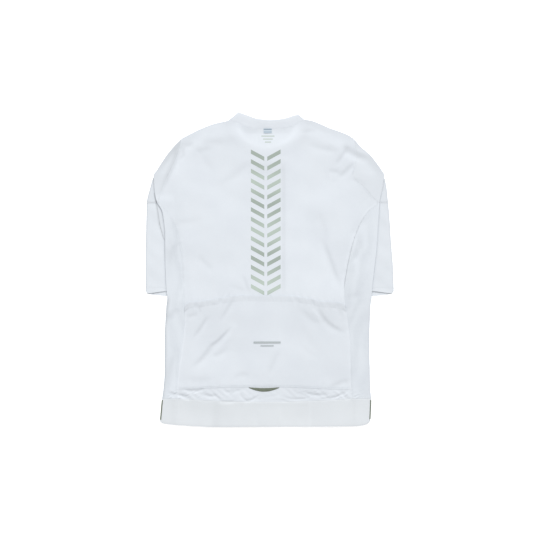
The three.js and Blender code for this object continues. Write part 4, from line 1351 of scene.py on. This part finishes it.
def make_jersey():
    body = body_material()
    mesh = side_material()
    sleeve = sleeve_material()
    back = dress(make_back(), body, "body_cloth", "back_panel")
    pocket = dress(make_pocket(), body, "body_cloth", "pocket_panel")
    edge = dress(make_binding(), binding_material(), "binding_elastic", "pocket_binding")
    for name in SIDES:
        side = dress(make_side(name), mesh, "side_cloth", f"side_panel_{name}")
        front = dress(make_front(name), body, "body_cloth", f"front_{name}")
        upper = dress(make_sleeve_upper(name), sleeve, "sleeve_cloth", f"sleeve_upper_{name}")
        band = dress(make_sleeve_band(name), sleeve, "sleeve_cloth", f"sleeve_band_{name}")
    collar = dress(make_collar(), collar_material(), "collar_cloth", "collar")
    hem = dress(make_hem(), gripper_material(), "gripper_elastic", "hem_band")
    label = dress(make_label(), label_material(), "label_cloth", "neck_label")
    tab = dress(make_tab(), tab_material(), "reflective_tab", "crescent_tab")
    marks = dress(make_print(), print_material("sage_print"), "reflective_tab")
    slivers = dress(make_slivers(), tab_material(), "reflective_tab")
    pocket_print = make_marks("print_pocket", POCKET_MARKS, POCKET_FACE)
    dress(pocket_print, print_material("grey_print"), "reflective_tab")
    neck_print = make_marks("print_neck", NECK_MARKS, 0.12)
    dress(neck_print, print_material("pale_print"), "reflective_tab")
    threads = dress(make_stitches(), thread_material(), "body_cloth")
    dress(make_zip_teeth(), coil_material(), "zip_coil", "zip_chain")
    tape = tape_material()
    metal = metal_material()
    for node in ("zip_tape_left", "zip_tape_right"):
        paint(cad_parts[node], tape)
    for node in ("zip_slider", "zip_pull"):
        paint(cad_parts[node], metal)


# Studio

# The floor is a sheet that glows faintly, as on a light table, which takes up the shadows
LIGHT_TABLE = 0.42
FLOOR = {"half": 6.0, "level": -0.0004}

# Each lamp: name, degrees from +Y toward +X, degrees above the table, power, softness
LAMPS = [("key", 14, 40, 1.9, 24), ("second", -40, 58, 0.55, 40)]

# The camera looks straight down and takes in frame_width at the height of the back
CAMERA = {"x": -7.3, "y": 7.0, "lens": 85.0, "sensor": 36.0, "frame_width": 1222.2, "back_height": 4}


def make_studio():
    mesh = bpy.data.meshes.new("floor")
    half = FLOOR["half"]
    corners = [(-half, -half, 0), (half, -half, 0), (half, half, 0), (-half, half, 0)]
    mesh.from_pydata(corners, [], [(0, 1, 2, 3)])
    floor = bpy.data.objects.new("floor", mesh)
    floor.location.z = FLOOR["level"]
    bpy.context.scene.collection.objects.link(floor)
    shader = Shader("pale_floor")
    mottle = shader.noise(3.0)
    material = shader.finish(shader.blend(mottle, (0.93, 0.93, 0.93), (0.945, 0.945, 0.945)), 0.9)
    surface = material.node_tree.nodes["Principled BSDF"]
    surface.inputs["Emission Color"].default_value = (1.0, 1.0, 1.0, 1.0)
    surface.inputs["Emission Strength"].default_value = LIGHT_TABLE
    mesh.materials.append(material)

    world = bpy.data.worlds.new("studio")
    world.use_nodes = True
    background = world.node_tree.nodes["Background"]
    background.inputs["Color"].default_value = (1.0, 1.0, 1.0, 1.0)
    background.inputs["Strength"].default_value = 0.56
    bpy.context.scene.world = world

    for name, azimuth, elevation, power, softness in LAMPS:
        lamp = bpy.data.lights.new(name, "SUN")
        lamp.energy = power
        lamp.angle = math.radians(softness)
        holder = bpy.data.objects.new(name, lamp)
        turn, rise = math.radians(azimuth), math.radians(elevation)
        toward = Vector((math.sin(turn) * math.cos(rise), math.cos(turn) * math.cos(rise), math.sin(rise)))
        holder.location = 3 * toward
        holder.rotation_mode = "QUATERNION"
        holder.rotation_quaternion = toward.to_track_quat("Z", "Y")
        bpy.context.scene.collection.objects.link(holder)

    camera_data = bpy.data.cameras.new("camera")
    camera_data.lens = CAMERA["lens"]
    camera_data.sensor_width = CAMERA["sensor"]
    camera = bpy.data.objects.new("camera", camera_data)
    away = CAMERA["frame_width"] * CAMERA["lens"] / CAMERA["sensor"]
    camera.location = (CAMERA["x"] * MM, CAMERA["y"] * MM, (away + CAMERA["back_height"]) * MM)
    bpy.context.scene.collection.objects.link(camera)
    bpy.context.scene.camera = camera
    bpy.context.scene.view_settings.view_transform = "Standard"


make_studio()
make_jersey()

bpy.context.view_layer.update()
